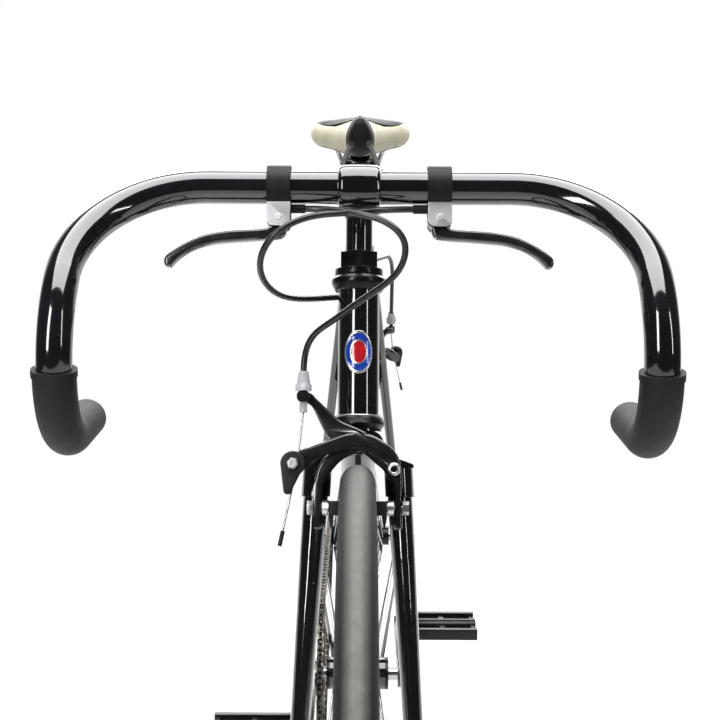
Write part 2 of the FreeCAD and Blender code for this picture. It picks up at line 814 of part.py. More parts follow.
def fork_end(side):
    face = side * front_dropout_spacing / 2
    low = -fork_end_width / 2
    half = fork_end_width / 2
    corners = [
        steer_at(face, fork_rake - half, low), steer_at(face, fork_rake + half, low),
        steer_at(face, fork_rake + half, half), steer_at(face, fork_rake, fork_end_width * 3 / 2),
        steer_at(face, fork_rake - half, fork_end_width * 3 / 2), steer_at(face, fork_rake - half, half)]
    slot_width = front_axle_radius + running_clearance
    slot = [
        steer_at(face, fork_rake - slot_width, low), steer_at(face, fork_rake + slot_width, low),
        steer_at(face, fork_rake + slot_width, 0), steer_at(face, fork_rake - slot_width, 0)]
    depth = across_axis * side * fork_end_thickness
    round_end = rod(steer_at(face, fork_rake, 0), steer_at(face, fork_rake, 0) + depth, slot_width)
    return slab(corners, depth).cut(slab(slot, depth)).cut(round_end)


crown_corners = [
    (crown_neck_half_width, crown_seat_height),
    (crown_waist_half_width, crown_seat_height - crown_waist_drop),
    (crown_half_width, socket_top + crown_thickness / 6),
    (crown_half_width, socket_top), (crown_gap_half_width, socket_top),
    (crown_gap_half_width, crown_seat_height - crown_thickness)]
crown_outline = [steer_at(across, -crown_depth / 2, height) for across, height in crown_corners]
crown_outline += [steer_at(-across, -crown_depth / 2, height) for across, height in crown_corners[::-1]]
crown = rounded_slab(crown_outline, steer_forward * crown_depth, crown_round_share)
crown_seat_point = steer_at(0, 0, crown_seat_height)
race = rod(crown_seat_point, steer_at(0, 0, crown_seat_height + crown_race_height), cup_waist_radius)
steerer_low = steer_at(0, 0, crown_seat_height - crown_thickness)
steerer = rod(steerer_low, steer_at(0, 0, locknut_high - locknut_lip), steerer_radius)
steerer_bore = rod(crown_seat_point, steer_at(0, 0, locknut_high), steerer_radius - steerer_wall)
hole_back = steer_at(0, -crown_depth, brake_bolt_height)
brake_hole = rod(hole_back, steer_at(0, crown_depth, brake_bolt_height), brake_bolt_radius)
fork_pieces = [crown, race, steerer]
for side in (1, -1):
    fork_pieces += [blade(side), socket(side), fork_end(side)]
fork = joined(fork_pieces)
nodes["fork"] = fork.cut(steerer_bore).cut(brake_hole)

locknut = hex_rod(steer_at(0, 0, locknut_low), steer_at(0, 0, locknut_high), locknut_radius)
top_race = rod(steer_at(0, 0, race_low), steer_at(0, 0, locknut_low), cup_waist_radius + air_gap)
nut_bore = rod(steer_at(0, 0, race_low), steer_at(0, 0, locknut_high), steerer_radius)
nodes["headset_nuts"] = joined([locknut, top_race]).cut(nut_bore)

# quill stem with its wedge and bolts
quill_low = locknut_high - quill_insert_length
barrel_half = across_axis * stem_barrel_width / 2
quill_top = stem_level + stem_neck_radius
lug_level = bar_centre + (back_axis - up_axis).normalize() * (stem_barrel_radius + stem_bolt_radius * 2)
stem_lug = rod(lug_level - barrel_half * 2 / 3, lug_level + barrel_half * 2 / 3, stem_bolt_radius * 5 / 2)
clamp_bolt = rod(lug_level - barrel_half * 3 / 4, lug_level + barrel_half * 3 / 4, stem_bolt_radius)
barrel_end = stem_barrel_width / 2
barrel_profile = [
    (0, -barrel_end), (stem_barrel_radius - barrel_ease, -barrel_end),
    (stem_barrel_radius - barrel_ease / 4, -barrel_end + barrel_ease / 3),
    (stem_barrel_radius, -barrel_end + barrel_ease)]
barrel_profile += [(radius, -along) for radius, along in barrel_profile[::-1]]
barrel = turned(barrel_profile, bar_centre, across_axis, up_axis)
stem = joined([
    rod(steer_at(0, 0, quill_low), steer_at(0, 0, quill_top), quill_radius),
    rod(steer_at(0, 0, stem_level - stem_neck_radius * 2), steer_at(0, 0, quill_top),
        stem_neck_radius + stem_bolt_radius),
    rod(bar_centre, steer_at(0, 0, stem_level), stem_neck_radius),
    barrel, stem_lug])
stem = stem.cut(rod(bar_centre - barrel_half * 2, bar_centre + barrel_half * 2, bar_radius))
expander_bore = rod(steer_at(0, 0, quill_low), steer_at(0, 0, quill_top), stem_bolt_radius + air_gap)
nodes["stem"] = stem.cut(expander_bore).cut(clamp_bolt)
wedge_low = quill_low - quill_radius * 2
nodes["stem_bolts"] = group([
    joined([rod(steer_at(0, 0, wedge_low), steer_at(0, 0, quill_top), stem_bolt_radius),
            rod(steer_at(0, 0, quill_top), steer_at(0, 0, quill_top + stem_bolt_radius),
                stem_bolt_radius * 2),
            rod(steer_at(0, 0, wedge_low), steer_at(0, 0, quill_low), quill_radius)]),
    joined([clamp_bolt,
            rod(lug_level + barrel_half * 3 / 4, lug_level + barrel_half, stem_bolt_radius * 3 / 2)])])

# drop handlebar and its grips
ramp = math.radians(bar_ramp_angle)
flare = math.radians(bar_flare_angle)
ramp_heading = Vector(0, -math.cos(ramp), -math.sin(ramp))
end_heading = Vector(math.sin(flare), math.cos(flare), 0)
top_corner = bar_centre + across_axis * bar_half_width
top_tangent = tangent_length(across_axis, ramp_heading, bar_top_bend)
hook_tangent = tangent_length(ramp_heading, end_heading, bar_hook_bend)
hook_corner = top_corner + ramp_heading * (top_tangent + bar_joint_length + hook_tangent)
hook_end = hook_corner + end_heading * hook_tangent
bar_end = hook_end + end_heading * bar_end_length
bar_points = [bar_centre, top_corner, hook_corner, bar_end]
bar_bends = [bar_top_bend, bar_hook_bend]
bar_solid = bent(bar_points, bar_bends, bar_radius)
bar_core = bent(bar_points, bar_bends, bar_radius - bar_wall)
half_bar = bar_solid.cut(bar_core)
nodes["handlebar"] = joined([half_bar, mirrored(half_bar)])

hook_turn = math.degrees(ramp_heading.getAngle(end_heading))
hook_half = math.radians(hook_turn / 2)
hook_centre = hook_corner + (end_heading - ramp_heading).normalize() * (bar_hook_bend / math.cos(hook_half))
hook_axis = ramp_heading.cross(end_heading)
hook_start = hook_corner - ramp_heading * hook_tangent


def hook_piece(from_angle, to_angle, radius):
    spin = FreeCAD.Rotation(hook_axis, from_angle)
    start = hook_centre + spin.multVec(hook_start - hook_centre)
    disc = Part.Face(Part.Wire(Part.makeCircle(radius, start, spin.multVec(ramp_heading))))
    return disc.revolve(hook_centre, hook_axis, to_angle - from_angle)


grip_radius = bar_radius + grip_wall
bead_turn_angle = math.degrees(grip_bead_width / bar_hook_bend)
grip_end = bar_end + end_heading * grip_end_thickness
grip = joined([
    hook_piece(grip_start_angle, hook_turn, grip_radius),
    hook_piece(grip_start_angle, grip_start_angle + bead_turn_angle, grip_radius + grip_bead),
    rod(hook_end, bar_end - end_heading * grip_wall, grip_radius),
    taper(bar_end - end_heading * grip_wall, grip_end, grip_radius, bar_radius - grip_wall)])
nodes["grips"] = both_sides(grip.cut(bar_solid))

# top mounted levers: band clamp with cheeks on the bar, blade on a pin
tilt = math.radians(lever_tilt)
lever_down = Vector(0, -math.sin(tilt), -math.cos(tilt))
lever_normal = across_axis.cross(lever_down)
body_depth = lever_thickness + lever_cheek * 2 + air_gap * 2
slot_depth = lever_thickness + air_gap * 2


def lever_at(side, outward, drop):
    return bar_centre + across_axis * side * (lever_offset + outward) + lever_down * drop


def centred(corners, depth):
    return [corner - lever_normal * depth / 2 for corner in corners]


def lever_clamp(side):
    half = lever_clamp_width / 2
    band_radius = bar_radius + lever_clamp_wall
    band = rod(lever_at(side, -half, 0), lever_at(side, half, 0), band_radius)
    body_corners = [lever_at(side, -half, 0), lever_at(side, half, 0),
                    lever_at(side, half, lever_body_drop), lever_at(side, -half, lever_body_drop)]
    slot_drop = lever_pivot_drop - lever_boss_radius - air_gap
    slot_corners = [lever_at(side, -half * 2, slot_drop), lever_at(side, half * 2, slot_drop),
                    lever_at(side, half * 2, lever_body_drop * 2),
                    lever_at(side, -half * 2, lever_body_drop * 2)]
    body = rounded_slab(centred(body_corners, body_depth), lever_normal * body_depth, clamp_round_share)
    body = body.cut(slab(centred(slot_corners, slot_depth), lever_normal * slot_depth))
    ferrule_tip = lever_at(side, -half - ferrule_length, ferrule_drop)
    ferrule = rod(lever_at(side, -half, ferrule_drop), ferrule_tip, ferrule_radius)
    pivot = lever_at(side, 0, lever_pivot_drop)
    pin_half = lever_normal * (body_depth / 2 + air_gap)
    pin = rod(pivot - pin_half, pivot + pin_half, lever_pin_radius)
    whole = joined([band, body, ferrule, pin])
    return whole.cut(rod(lever_at(side, -half * 2, 0), lever_at(side, half * 2, 0), bar_radius))


def lever(side):
    corners = []
    for out_share, drop_share in lever_blade_shares:
        corners.append(lever_at(side, lever_reach * out_share, lever_pivot_drop + lever_reach * drop_share))
    pivot = lever_at(side, 0, lever_pivot_drop)
    half = lever_normal * lever_thickness / 2
    boss = rod(pivot - half, pivot + half, lever_boss_radius)
    pin = rod(pivot - half, pivot + half, lever_pin_radius + running_clearance)
    blade_corners = centred(corners, lever_thickness)
    blade_body = rounded_slab(blade_corners, lever_normal * lever_thickness, blade_round_share)
    return joined([blade_body, boss]).cut(pin)


nodes["lever_clamps"] = group([lever_clamp(1), lever_clamp(-1)])
nodes["front_brake_lever"] = lever(-1)
nodes["rear_brake_lever"] = lever(1)

# dual pivot calipers, drawn in their own plane and set on fork crown and stay bridge
plate_low = brake_back_gap
plate_high = plate_low + brake_plate_thickness
upper_low = plate_high + brake_layer_gap
upper_high = upper_low + upper_arm_thickness
lower_low = upper_high + brake_layer_gap
lower_high = lower_low + lower_arm_thickness
side_pivot = (brake_reach * side_pivot_shares[0], brake_reach * side_pivot_shares[1])
anchor = (brake_reach * anchor_shares[0], brake_reach * anchor_shares[1])
adjuster_across = brake_reach * adjuster_share
adjuster_foot = brake_reach * adjuster_foot_share
wire_level = lower_high + air_gap + wire_radius
release_low = wire_level + wire_radius + air_gap
release_high = release_low + release_thickness
anchor_head_low = release_high + air_gap
shoe_level = brake_reach * shoe_centre_share
shoe_face = rim_half_width + shoe_gap
shoe_back = shoe_face + shoe_rubber_thickness + shoe_holder_thickness
leg_inner = brake_reach * leg_inner_share
leg_outer = brake_reach * leg_outer_share


def flat(point, low, high, radius):
    return rod(Vector(point[0], point[1], low), Vector(point[0], point[1], high), radius)


def arm_slab(shares, low, high):
    corners = [Vector(brake_reach * across, brake_reach * rise, low) for across, rise in shares]
    return rounded_slab(corners, up_axis * (high - low), arm_round_share)


def stud_hole(side, level):
    far_end = Vector(side * leg_outer * 2, shoe_level, level)
    return rod(Vector(side * shoe_back, shoe_level, level), far_end, shoe_stud_radius)


def brake_shoe(side, level):
    half_height = shoe_height / 2
    low = level - shoe_length / 3
    high = low + shoe_length
    face = side * shoe_face
    holder_face = side * (shoe_face + shoe_rubber_thickness)
    foot = shoe_level - half_height
    head = shoe_level + half_height
    rubber_corners = [Vector(face, foot, low), Vector(face, foot, high),
                      Vector(face, head, high), Vector(face, head, low)]
    holder_corners = [Vector(holder_face, foot, low), Vector(holder_face, foot, high),
                      Vector(holder_face, head, high), Vector(holder_face, head, low)]
    fin_middle = holder_face + side * shoe_holder_thickness / 2
    fin_top = Vector(fin_middle, foot + shoe_fin_radius, high - shoe_fin_radius)
    fin_tip = fin_top - back_axis * (shoe_fin_radius + shoe_fin_drop)
    fin = taper(fin_top, fin_tip, shoe_fin_radius, shoe_fin_tip_radius)
    rubber = slab(rubber_corners, across_axis * side * shoe_rubber_thickness).cut(fin)
    holder = slab(holder_corners, across_axis * side * shoe_holder_thickness)
    back = Vector(side * shoe_back, shoe_level, level)
    leg = Vector(side * leg_inner, shoe_level, level)
    outer = Vector(side * leg_outer, shoe_level, level)
    nut_end = Vector(side * (leg_outer + shoe_nut_length), shoe_level, level)
    stud = rod(back, nut_end, shoe_stud_radius)
    washer = rod(back, leg, shoe_washer_radius)
    nut = hex_rod(outer, nut_end, shoe_nut_radius)
    return group([rubber, joined([holder, fin, stud, washer, nut])])


def caliper(back_depth):
    head_foot = upper_high - bolt_head_height
    bolt = flat((0, 0), -back_depth, head_foot, brake_bolt_radius)
    bolt_head = flat((0, 0), head_foot, upper_high, bolt_head_radius)
    spacer = flat((0, 0), 0, plate_high, centre_boss_radius)
    back_nut = flat((0, 0), -back_depth - shoe_nut_length, -back_depth, shoe_nut_radius)
    slope = math.atan2(side_pivot[1], side_pivot[0])
    edge = Vector(-math.sin(slope), math.cos(slope), 0) * side_pivot_radius
    base = Vector(0, 0, plate_low)
    tip = Vector(side_pivot[0], side_pivot[1], plate_low)
    plate = slab([base + edge, tip + edge, tip - edge, base - edge], up_axis * brake_plate_thickness)
    plate_end = flat(side_pivot, plate_low, plate_high, side_pivot_radius)
    pin = flat(side_pivot, plate_low, lower_high + air_gap, brake_bolt_radius)
    pin_boss = flat(side_pivot, plate_high, upper_high, side_pivot_radius)
    head_low = lower_high + air_gap
    pin_head = flat(side_pivot, head_low, head_low + shoe_washer_radius / 2, side_pivot_radius)
    mount = joined([bolt, bolt_head, spacer, back_nut, plate, plate_end, pin, pin_boss, pin_head])
    lower_level = (lower_low + lower_high) / 2
    upper_level = (upper_low + upper_high) / 2
    lower = arm_slab(lower_arm_shares, lower_low, lower_high)
    lower = lower.cut(flat(side_pivot, 0, lower_high, brake_bolt_radius + running_clearance))
    lower = lower.cut(stud_hole(1, lower_level))
    anchor_pin = flat(anchor, lower_high, anchor_head_low, anchor_pin_radius)
    anchor_top = Vector(anchor[0], anchor[1], anchor_head_low + anchor_length)
    anchor_head = hex_rod(Vector(anchor[0], anchor[1], anchor_head_low), anchor_top, anchor_radius)
    lower = joined([lower, anchor_pin, anchor_head])
    upper = arm_slab(upper_arm_shares, upper_low, upper_high)
    upper = upper.cut(flat((0, 0), 0, upper_high, brake_bolt_radius + running_clearance))
    head_seat = head_foot - running_clearance
    upper = upper.cut(flat((0, 0), head_seat, upper_high, bolt_head_radius + running_clearance))
    upper = joined([upper, arm_slab(boss_shares, upper_low, wire_level + adjuster_radius)])
    upper = upper.cut(stud_hole(-1, upper_level))
    foot = Vector(adjuster_across, adjuster_foot, wire_level)
    cone_foot = foot + back_axis * adjuster_knurl_length
    barrel = taper(cone_foot, foot + back_axis * adjuster_length, adjuster_radius, adjuster_top_radius)
    knurl = rod(foot, cone_foot, adjuster_knurl_radius)
    wire_bore = rod(foot - back_axis * brake_reach, foot + back_axis * adjuster_length, adjuster_bore_radius)
    adjuster = joined([barrel, knurl]).cut(wire_bore)
    boss_foot = Vector(adjuster_across, brake_reach * boss_foot_share, wire_level)
    thread_tip = boss_foot - back_axis * adjuster_thread_length
    thread = rod(thread_tip, boss_foot, adjuster_thread_radius).cut(wire_bore)
    tail_lean = release_tail_length * release_lean_share
    release_tail = Vector(anchor[0] - tail_lean, anchor[1] - release_tail_length, release_low)
    release_centre = Vector(anchor[0], anchor[1], release_low)
    wide = across_axis * release_radius
    narrow = across_axis * release_tail_radius
    tail_sides = [release_centre - wide, release_centre + wide, release_tail + narrow, release_tail - narrow]
    release = joined([
        flat(anchor, release_low, release_high, release_radius),
        flat((release_tail.x, release_tail.y), release_low, release_high, release_tail_radius),
        slab(tail_sides, up_axis * (release_high - release_low))])
    release = release.cut(flat(anchor, 0, release_high, anchor_pin_radius + running_clearance))
    return {
        "brake_mount": mount, "lower_arm": lower,
        "upper_arm": group([upper.cut(wire_bore), adjuster, thread]),
        "lower_shoe": brake_shoe(1, lower_level), "upper_shoe": brake_shoe(-1, upper_level),
        "release_lever": release}


def placement(point, across, up, out):
    return FreeCAD.Placement(FreeCAD.Matrix(
        across.x, up.x, out.x, point.x,
        across.y, up.y, out.y, point.y,
        across.z, up.z, out.z, point.z,
        0, 0, 0, 1))


front_brake_point = steer_at(0, crown_depth / 2, brake_bolt_height)
rear_brake_point = rear_bridge_point + stay_out * rear_bridge_radius
front_place = placement(front_brake_point, across_axis, steer_up, steer_forward)
rear_place = placement(rear_brake_point, across_axis.negative(), stay_up, stay_out)
for name, place, depth in (("front", front_place, crown_depth), ("rear", rear_place, rear_bridge_radius * 2)):
    for piece, shape in caliper(depth).items():
        placed = shape.copy()
        placed.Placement = place
        nodes[name + "_" + piece] = placed

# brake cables: housing, bare wire to the anchor and its capped tail
def wire_end(place):
    top = Vector(adjuster_across, adjuster_foot + adjuster_length, wire_level)
    clamp = Vector(anchor[0] + anchor_pin_radius + wire_radius + air_gap, anchor[1], wire_level)
    leave = Vector(adjuster_across, brake_reach * boss_foot_share - adjuster_thread_length, wire_level)
    tail = Vector(brake_reach * wire_tail_shares[0], brake_reach * wire_tail_shares[1], wire_level)
    cap = tail + (tail - clamp).normalize() * wire_cap_length
    strand = bent([top, leave, clamp, tail], [wire_bend, wire_bend], wire_radius)
    placed = joined([strand, rod(tail, cap, wire_cap_radius)])
    placed.Placement = place
    return placed, place.multVec(top)


def bar_share_point(shares):
    return bar_centre + Vector(shares[0], shares[1], shares[2]) * bar_half_width


def ferrule_end(side):
    return lever_at(side, -lever_clamp_width / 2 - ferrule_length, ferrule_drop)


front_wire, front_adjuster_top = wire_end(front_place)
rear_wire, rear_adjuster_top = wire_end(rear_place)
front_run = [
    ferrule_end(-1), ferrule_end(-1) + across_axis * ferrule_run_length, bar_share_point(front_loop_shares),
    front_adjuster_top + steer_up * adjuster_run_length, front_adjuster_top]
front_housing = bent(front_run, [ferrule_bend, front_loop_bend, adjuster_bend], housing_radius)
nodes["front_brake_cable"] = group([front_housing, front_wire])
loop_end = front_stop_point - half_stop
loop_run = [ferrule_end(1), ferrule_end(1) - across_axis * ferrule_run_length,
            bar_share_point(rear_loop_first_shares), bar_share_point(rear_loop_second_shares),
            bar_share_point(rear_loop_third_shares), loop_end - back_axis * rear_loop_last_run, loop_end]
loop_bends = [ferrule_bend, rear_loop_first_bend, rear_loop_second_bend, rear_loop_third_bend,
              rear_loop_last_bend]
nodes["rear_brake_cable_loop"] = bent(loop_run, loop_bends, housing_radius)
stay_start = rear_stop_point + half_stop
stay_run_points = [stay_start, stay_start + back_axis * rear_stop_run,
                   rear_adjuster_top + stay_up * rear_stay_run_length, rear_adjuster_top]
bare_wire = rod(loop_end, stay_start, wire_radius)
rear_housing = bent(stay_run_points, [rear_stop_bend, rear_stay_bend], housing_radius)
nodes["rear_brake_cable"] = group([bare_wire, rear_housing, rear_wire])

# seatpost, rails and saddle
post_top = seat_top + seat_up * seatpost_rise
post_low = post_top - seat_up * seatpost_length
head_half = across_axis * post_head_width / 2
post_head = rod(post_top - head_half, post_top + head_half, post_head_radius)
post = joined([rod(post_low, post_top, seatpost_radius), post_head])
rail_level = post_top + up_axis * (post_head_radius - rail_radius / 2)
flat_half = rail_flat_length / 2


def rail(side):
    points = [
        rail_level + Vector(side * rail_radius * 3, -rail_nose_reach, rail_end_rise),
        rail_level + Vector(side * rail_half_gap, -flat_half, 0),
        rail_level + Vector(side * rail_half_gap, flat_half, 0),
        rail_level + Vector(side * (rail_half_gap + rail_bend / 3), rail_tail_reach, rail_end_rise)]
    return bent(points, [rail_bend, rail_bend], rail_radius)


rails = group([rail(1), rail(-1)])
clamp_bolt_half = head_half * 6 / 5
post_bolt = rod(post_top - clamp_bolt_half, post_top + clamp_bolt_half, post_clamp_bolt_radius)
nodes["seatpost"] = joined([post, post_bolt]).cut(rails)
nodes["saddle_rails"] = rails

saddle_base = rail_level + up_axis * (saddle_rail_height - saddle_rail_height * 2 / 3)
saddle_rings = []
for station, width_share, skirt_share, crown_share in zip(
        saddle_station_shares, saddle_width_shares, saddle_skirt_shares, saddle_crown_shares):
    half = saddle_width * width_share / 2
    top = saddle_base + Vector(0, saddle_length * station, saddle_height * crown_share)
    depth = saddle_height * skirt_share * crown_share
    low = Vector(half * saddle_tuck_share, 0, -depth)
    bulge = Vector(half, 0, -depth / 2)
    edge = Vector(half * saddle_flat_share, 0, -depth / 8)
    left = [top + low, top + bulge, top + edge]
    right = [top + Vector(-point.x, 0, point.z) for point in (edge, bulge, low)]
    saddle_rings.append(Part.Wire([
        Part.Arc(left[0], left[1], left[2]).toShape(), Part.Arc(left[2], top, right[0]).toShape(),
        Part.Arc(right[0], right[1], right[2]).toShape(), Part.LineSegment(right[2], left[0]).toShape()]))
nodes["saddle"] = Part.makeLoft(saddle_rings, True).cut(rails)

# chain round chainring and sprocket, roller by roller
chain_centre = rear_axle_point - across_axis * chain_line
chain_forward = (bracket_point - rear_axle_point).normalize()
chain_rise = chain_forward.cross(across_axis)
if chain_rise.z < 0:
    chain_rise = chain_rise.negative()
chain_lean = math.asin(pitch_radius_step / stay_length)
straight_links = stay_length * math.cos(chain_lean) / chain_pitch
ring_links = ring_teeth * (1 / 2 + chain_lean / math.pi)
ring_step = 2 * math.pi / ring_teeth
sprocket_step = 2 * math.pi / sprocket_teeth
top_angle = math.pi / 2 + chain_lean


def chain_plane(forward, rise, across):
    return chain_centre + chain_forward * forward + chain_rise * rise + across_axis * across


def roller_at(count):
    along = count
    if along < straight_links:
        share = along / straight_links
        radius = sprocket_pitch_radius + pitch_radius_step * share
        return stay_length * share - radius * math.sin(chain_lean), radius * math.cos(chain_lean)
    along = along - straight_links
    if along < ring_links:
        angle = top_angle - along * ring_step
        return stay_length + ring_pitch_radius * math.cos(angle), ring_pitch_radius * math.sin(angle)
    along = along - ring_links
    if along < straight_links:
        share = 1 - along / straight_links
        radius = sprocket_pitch_radius + pitch_radius_step * share
        return stay_length * share - radius * math.sin(chain_lean), -radius * math.cos(chain_lean)
    angle = -top_angle - (along - straight_links) * sprocket_step
    return sprocket_pitch_radius * math.cos(angle), sprocket_pitch_radius * math.sin(angle)


rollers = [roller_at(count) for count in range(chain_links)]
chain_pieces = []
for count in range(chain_links):
    here = rollers[count]
    there = rollers[(count + 1) % chain_links]
    roller_half = chain_inner_width / 2
    roller_left = chain_plane(here[0], here[1], -roller_half)
    roller_right = chain_plane(here[0], here[1], roller_half)
    chain_pieces.append(hex_rod(roller_left, roller_right, roller_radius))
    start = Vector(here[0], here[1], 0)
    heading = (Vector(there[0], there[1], 0) - start).normalize()
    side = Vector(-heading.y, heading.x, 0) * chain_plate_height / 2
    tail = start - heading * chain_plate_overhang
    nose = Vector(there[0], there[1], 0) + heading * chain_plate_overhang
    plate_offset = chain_inner_width / 2
    if count % 2:
        plate_offset = plate_offset + chain_plate_thickness + chain_plate_gap
    for face in (1, -1):
        corners = [chain_plane(corner.x, corner.y, face * plate_offset)
                   for corner in (tail + side, nose + side, nose - side, tail - side)]
        chain_pieces.append(slab(corners, across_axis * face * chain_plate_thickness))
nodes["chain"] = group(chain_pieces)


def toothed(centre_forward, teeth, pitch_radius, phase, thickness):
    step = 2 * math.pi / teeth
    root = pitch_radius - tooth_root_depth
    tip = pitch_radius + tooth_tip_rise
    corners = []
    for tooth in range(teeth):
        middle = phase + (tooth + 1 / 2) * step
        for radius, half_width, lean in ((root, tooth_root_half_width, -1), (tip, tooth_tip_half_width, -1),
                                         (tip, tooth_tip_half_width, 1), (root, tooth_root_half_width, 1)):
            angle = middle + lean * half_width / radius
            forward = centre_forward + radius * math.cos(angle)
            corners.append(chain_plane(forward, radius * math.sin(angle), -thickness / 2))
    return slab(corners, across_axis * thickness)


ring_first = math.ceil(straight_links)
ring_phase = top_angle - (ring_first - straight_links) * ring_step
sprocket_first = math.ceil(2 * straight_links + ring_links)
sprocket_phase = -top_angle - (sprocket_first - 2 * straight_links - ring_links) * sprocket_step
ring_bore = ring_pitch_radius - tooth_root_depth - ring_band
half_ring = across_axis * ring_thickness
ring_centre = bracket_point - across_axis * chain_line
ring_body = toothed(stay_length, ring_teeth, ring_pitch_radius, ring_phase, tooth_thickness)
ring_body = ring_body.cut(rod(ring_centre - half_ring, ring_centre + half_ring, ring_bore))
sprocket_centre = chain_centre
boss_radius = lockring_radius - bearing_step
sprocket = toothed(0, sprocket_teeth, sprocket_pitch_radius, sprocket_phase, tooth_thickness)
sprocket = sprocket.cut(rod(sprocket_centre - half_ring, sprocket_centre + half_ring, boss_radius))
lock_face = rear_axle_point - across_axis * (chain_line + tooth_thickness / 2)
lockring = tube(lock_face, lock_face - across_axis * lockring_thickness * 2 / 3, lockring_radius, boss_radius)
nodes["rear_sprocket"] = group([sprocket, lockring])

# cranks, chainring, spindle and bolts
spider_face = chain_line + tooth_thickness / 2
bolt_circle = ring_bore + ring_band / 2
spider_reach = bolt_circle + ring_bolt_radius + ring_bolt_margin
crank_face = spider_face + spider_thickness
bolt_points = []
for arm in range(spider_arms):
    turn = math.radians(arm * full_turn / spider_arms)
    bolt_points.append((Vector(0, math.sin(turn), math.cos(turn)), bolt_circle))
ring_bolts = []
for heading, reach in bolt_points:
    middle = bracket_point + heading * reach
    bolt_low = middle - across_axis * (spider_face - tooth_thickness - air_gap)
    bolt_high = middle - across_axis * (crank_face + air_gap)
    ring_bolts.append(rod(bolt_low, bolt_high, ring_bolt_radius))
ring_bolt_group = group(ring_bolts)
nodes["chainring"] = ring_body.cut(ring_bolt_group)


def crank(side, face, heading):
    tip = bracket_point + heading * crank_length
    inner = across_axis * side * face
    depth = across_axis * side * crank_thickness
    rise = across_axis.cross(heading) * crank_width / 2
    tip_rise = across_axis.cross(heading) * crank_end_radius
    corners = [bracket_point + inner + rise, tip + inner + tip_rise * 3 / 4, tip + inner - tip_rise * 3 / 4,
               bracket_point + inner - rise]
    pieces = [slab(corners, depth),
              rod(bracket_point + inner, bracket_point + inner + depth, crank_boss_radius),
              rod(tip + inner, tip + inner + depth, crank_end_radius)]
    return pieces, tip


right_pieces, right_tip = crank(-1, crank_face, back_axis.negative())
for heading, reach in bolt_points:
    sideways = across_axis.cross(heading) * spider_arm_width / 2
    base = bracket_point - across_axis * spider_face
    outer = base + heading * spider_reach
    right_pieces.append(slab([base + sideways, outer + sideways, outer - sideways, base - sideways],
                             across_axis.negative() * spider_thickness))
left_pieces, left_tip = crank(1, crank_face, back_axis)
spindle_end = crank_face + crank_thickness
spindle_half = across_axis * spindle_end
spindle = rod(bracket_point - spindle_half, bracket_point + spindle_half, spindle_radius)
right_axle_start = right_tip - across_axis * crank_face
left_axle_start = left_tip + across_axis * crank_face
axle_reach = crank_thickness + pedal_axle_length
right_axle = rod(right_axle_start, right_axle_start - across_axis * axle_reach, pedal_axle_radius)
left_axle = rod(left_axle_start, left_axle_start + across_axis * axle_reach, pedal_axle_radius)
nodes["right_crank"] = joined(right_pieces).cut(spindle).cut(ring_bolt_group).cut(right_axle)
nodes["left_crank"] = joined(left_pieces).cut(spindle).cut(left_axle)
nodes["bottom_bracket_axle"] = spindle
end_bolts = []
for side in (1, -1):
    outer = bracket_point + across_axis * side * spindle_end
    end_bolts.append(rod(outer, outer + across_axis * side * crank_bolt_head, crank_bolt_radius))
nodes["crank_bolts"] = group(ring_bolts + end_bolts)


def axle_with_collar(start, side, shaft):
    face = start + across_axis * side * crank_thickness
    collar_far = face + across_axis * side * pedal_collar_length
    return joined([shaft, rod(face, collar_far, pedal_axle_radius + bearing_step)])


def pedal(tip, side):
    start = tip + across_axis * side * (crank_face + crank_thickness + pedal_collar_length + air_gap)
    end = start + across_axis * side * (pedal_length)
    across = across_axis * side
    core = rod(start, end, pedal_core_radius)
    pieces = [core]
    half = pedal_width / 2
    rise = up_axis * pedal_thickness / 2
    for reach in (-half, half - pedal_rail_width):
        low = start + back_axis * reach - rise
        back = low + back_axis * pedal_rail_width
        pieces.append(slab([low, back, back + rise * 2, low + rise * 2], across * pedal_length))
    for along in (0, (pedal_length - pedal_rail_width) / 2, pedal_length - pedal_rail_width):
        low = start + across * along - back_axis * half - rise / 2
        back = low + back_axis * pedal_width
        pieces.append(slab([low, back, back + rise, low + rise], across * pedal_rail_width))
    bore_end = tip + across * (crank_face + axle_reach + air_gap)
    return joined(pieces).cut(rod(start - across * air_gap, bore_end, pedal_axle_radius + running_clearance))


nodes["pedal_axles"] = group([
    axle_with_collar(right_axle_start, -1, right_axle), axle_with_collar(left_axle_start, 1, left_axle)])
nodes["right_pedal"] = pedal(right_tip, -1)
nodes["left_pedal"] = pedal(left_tip, 1)

for name, shape in nodes.items():
    shape.exportStep("parts/" + name + ".step")
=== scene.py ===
import json
import math
import bmesh
import bpy
from mathutils import Euler, Matrix, Vector


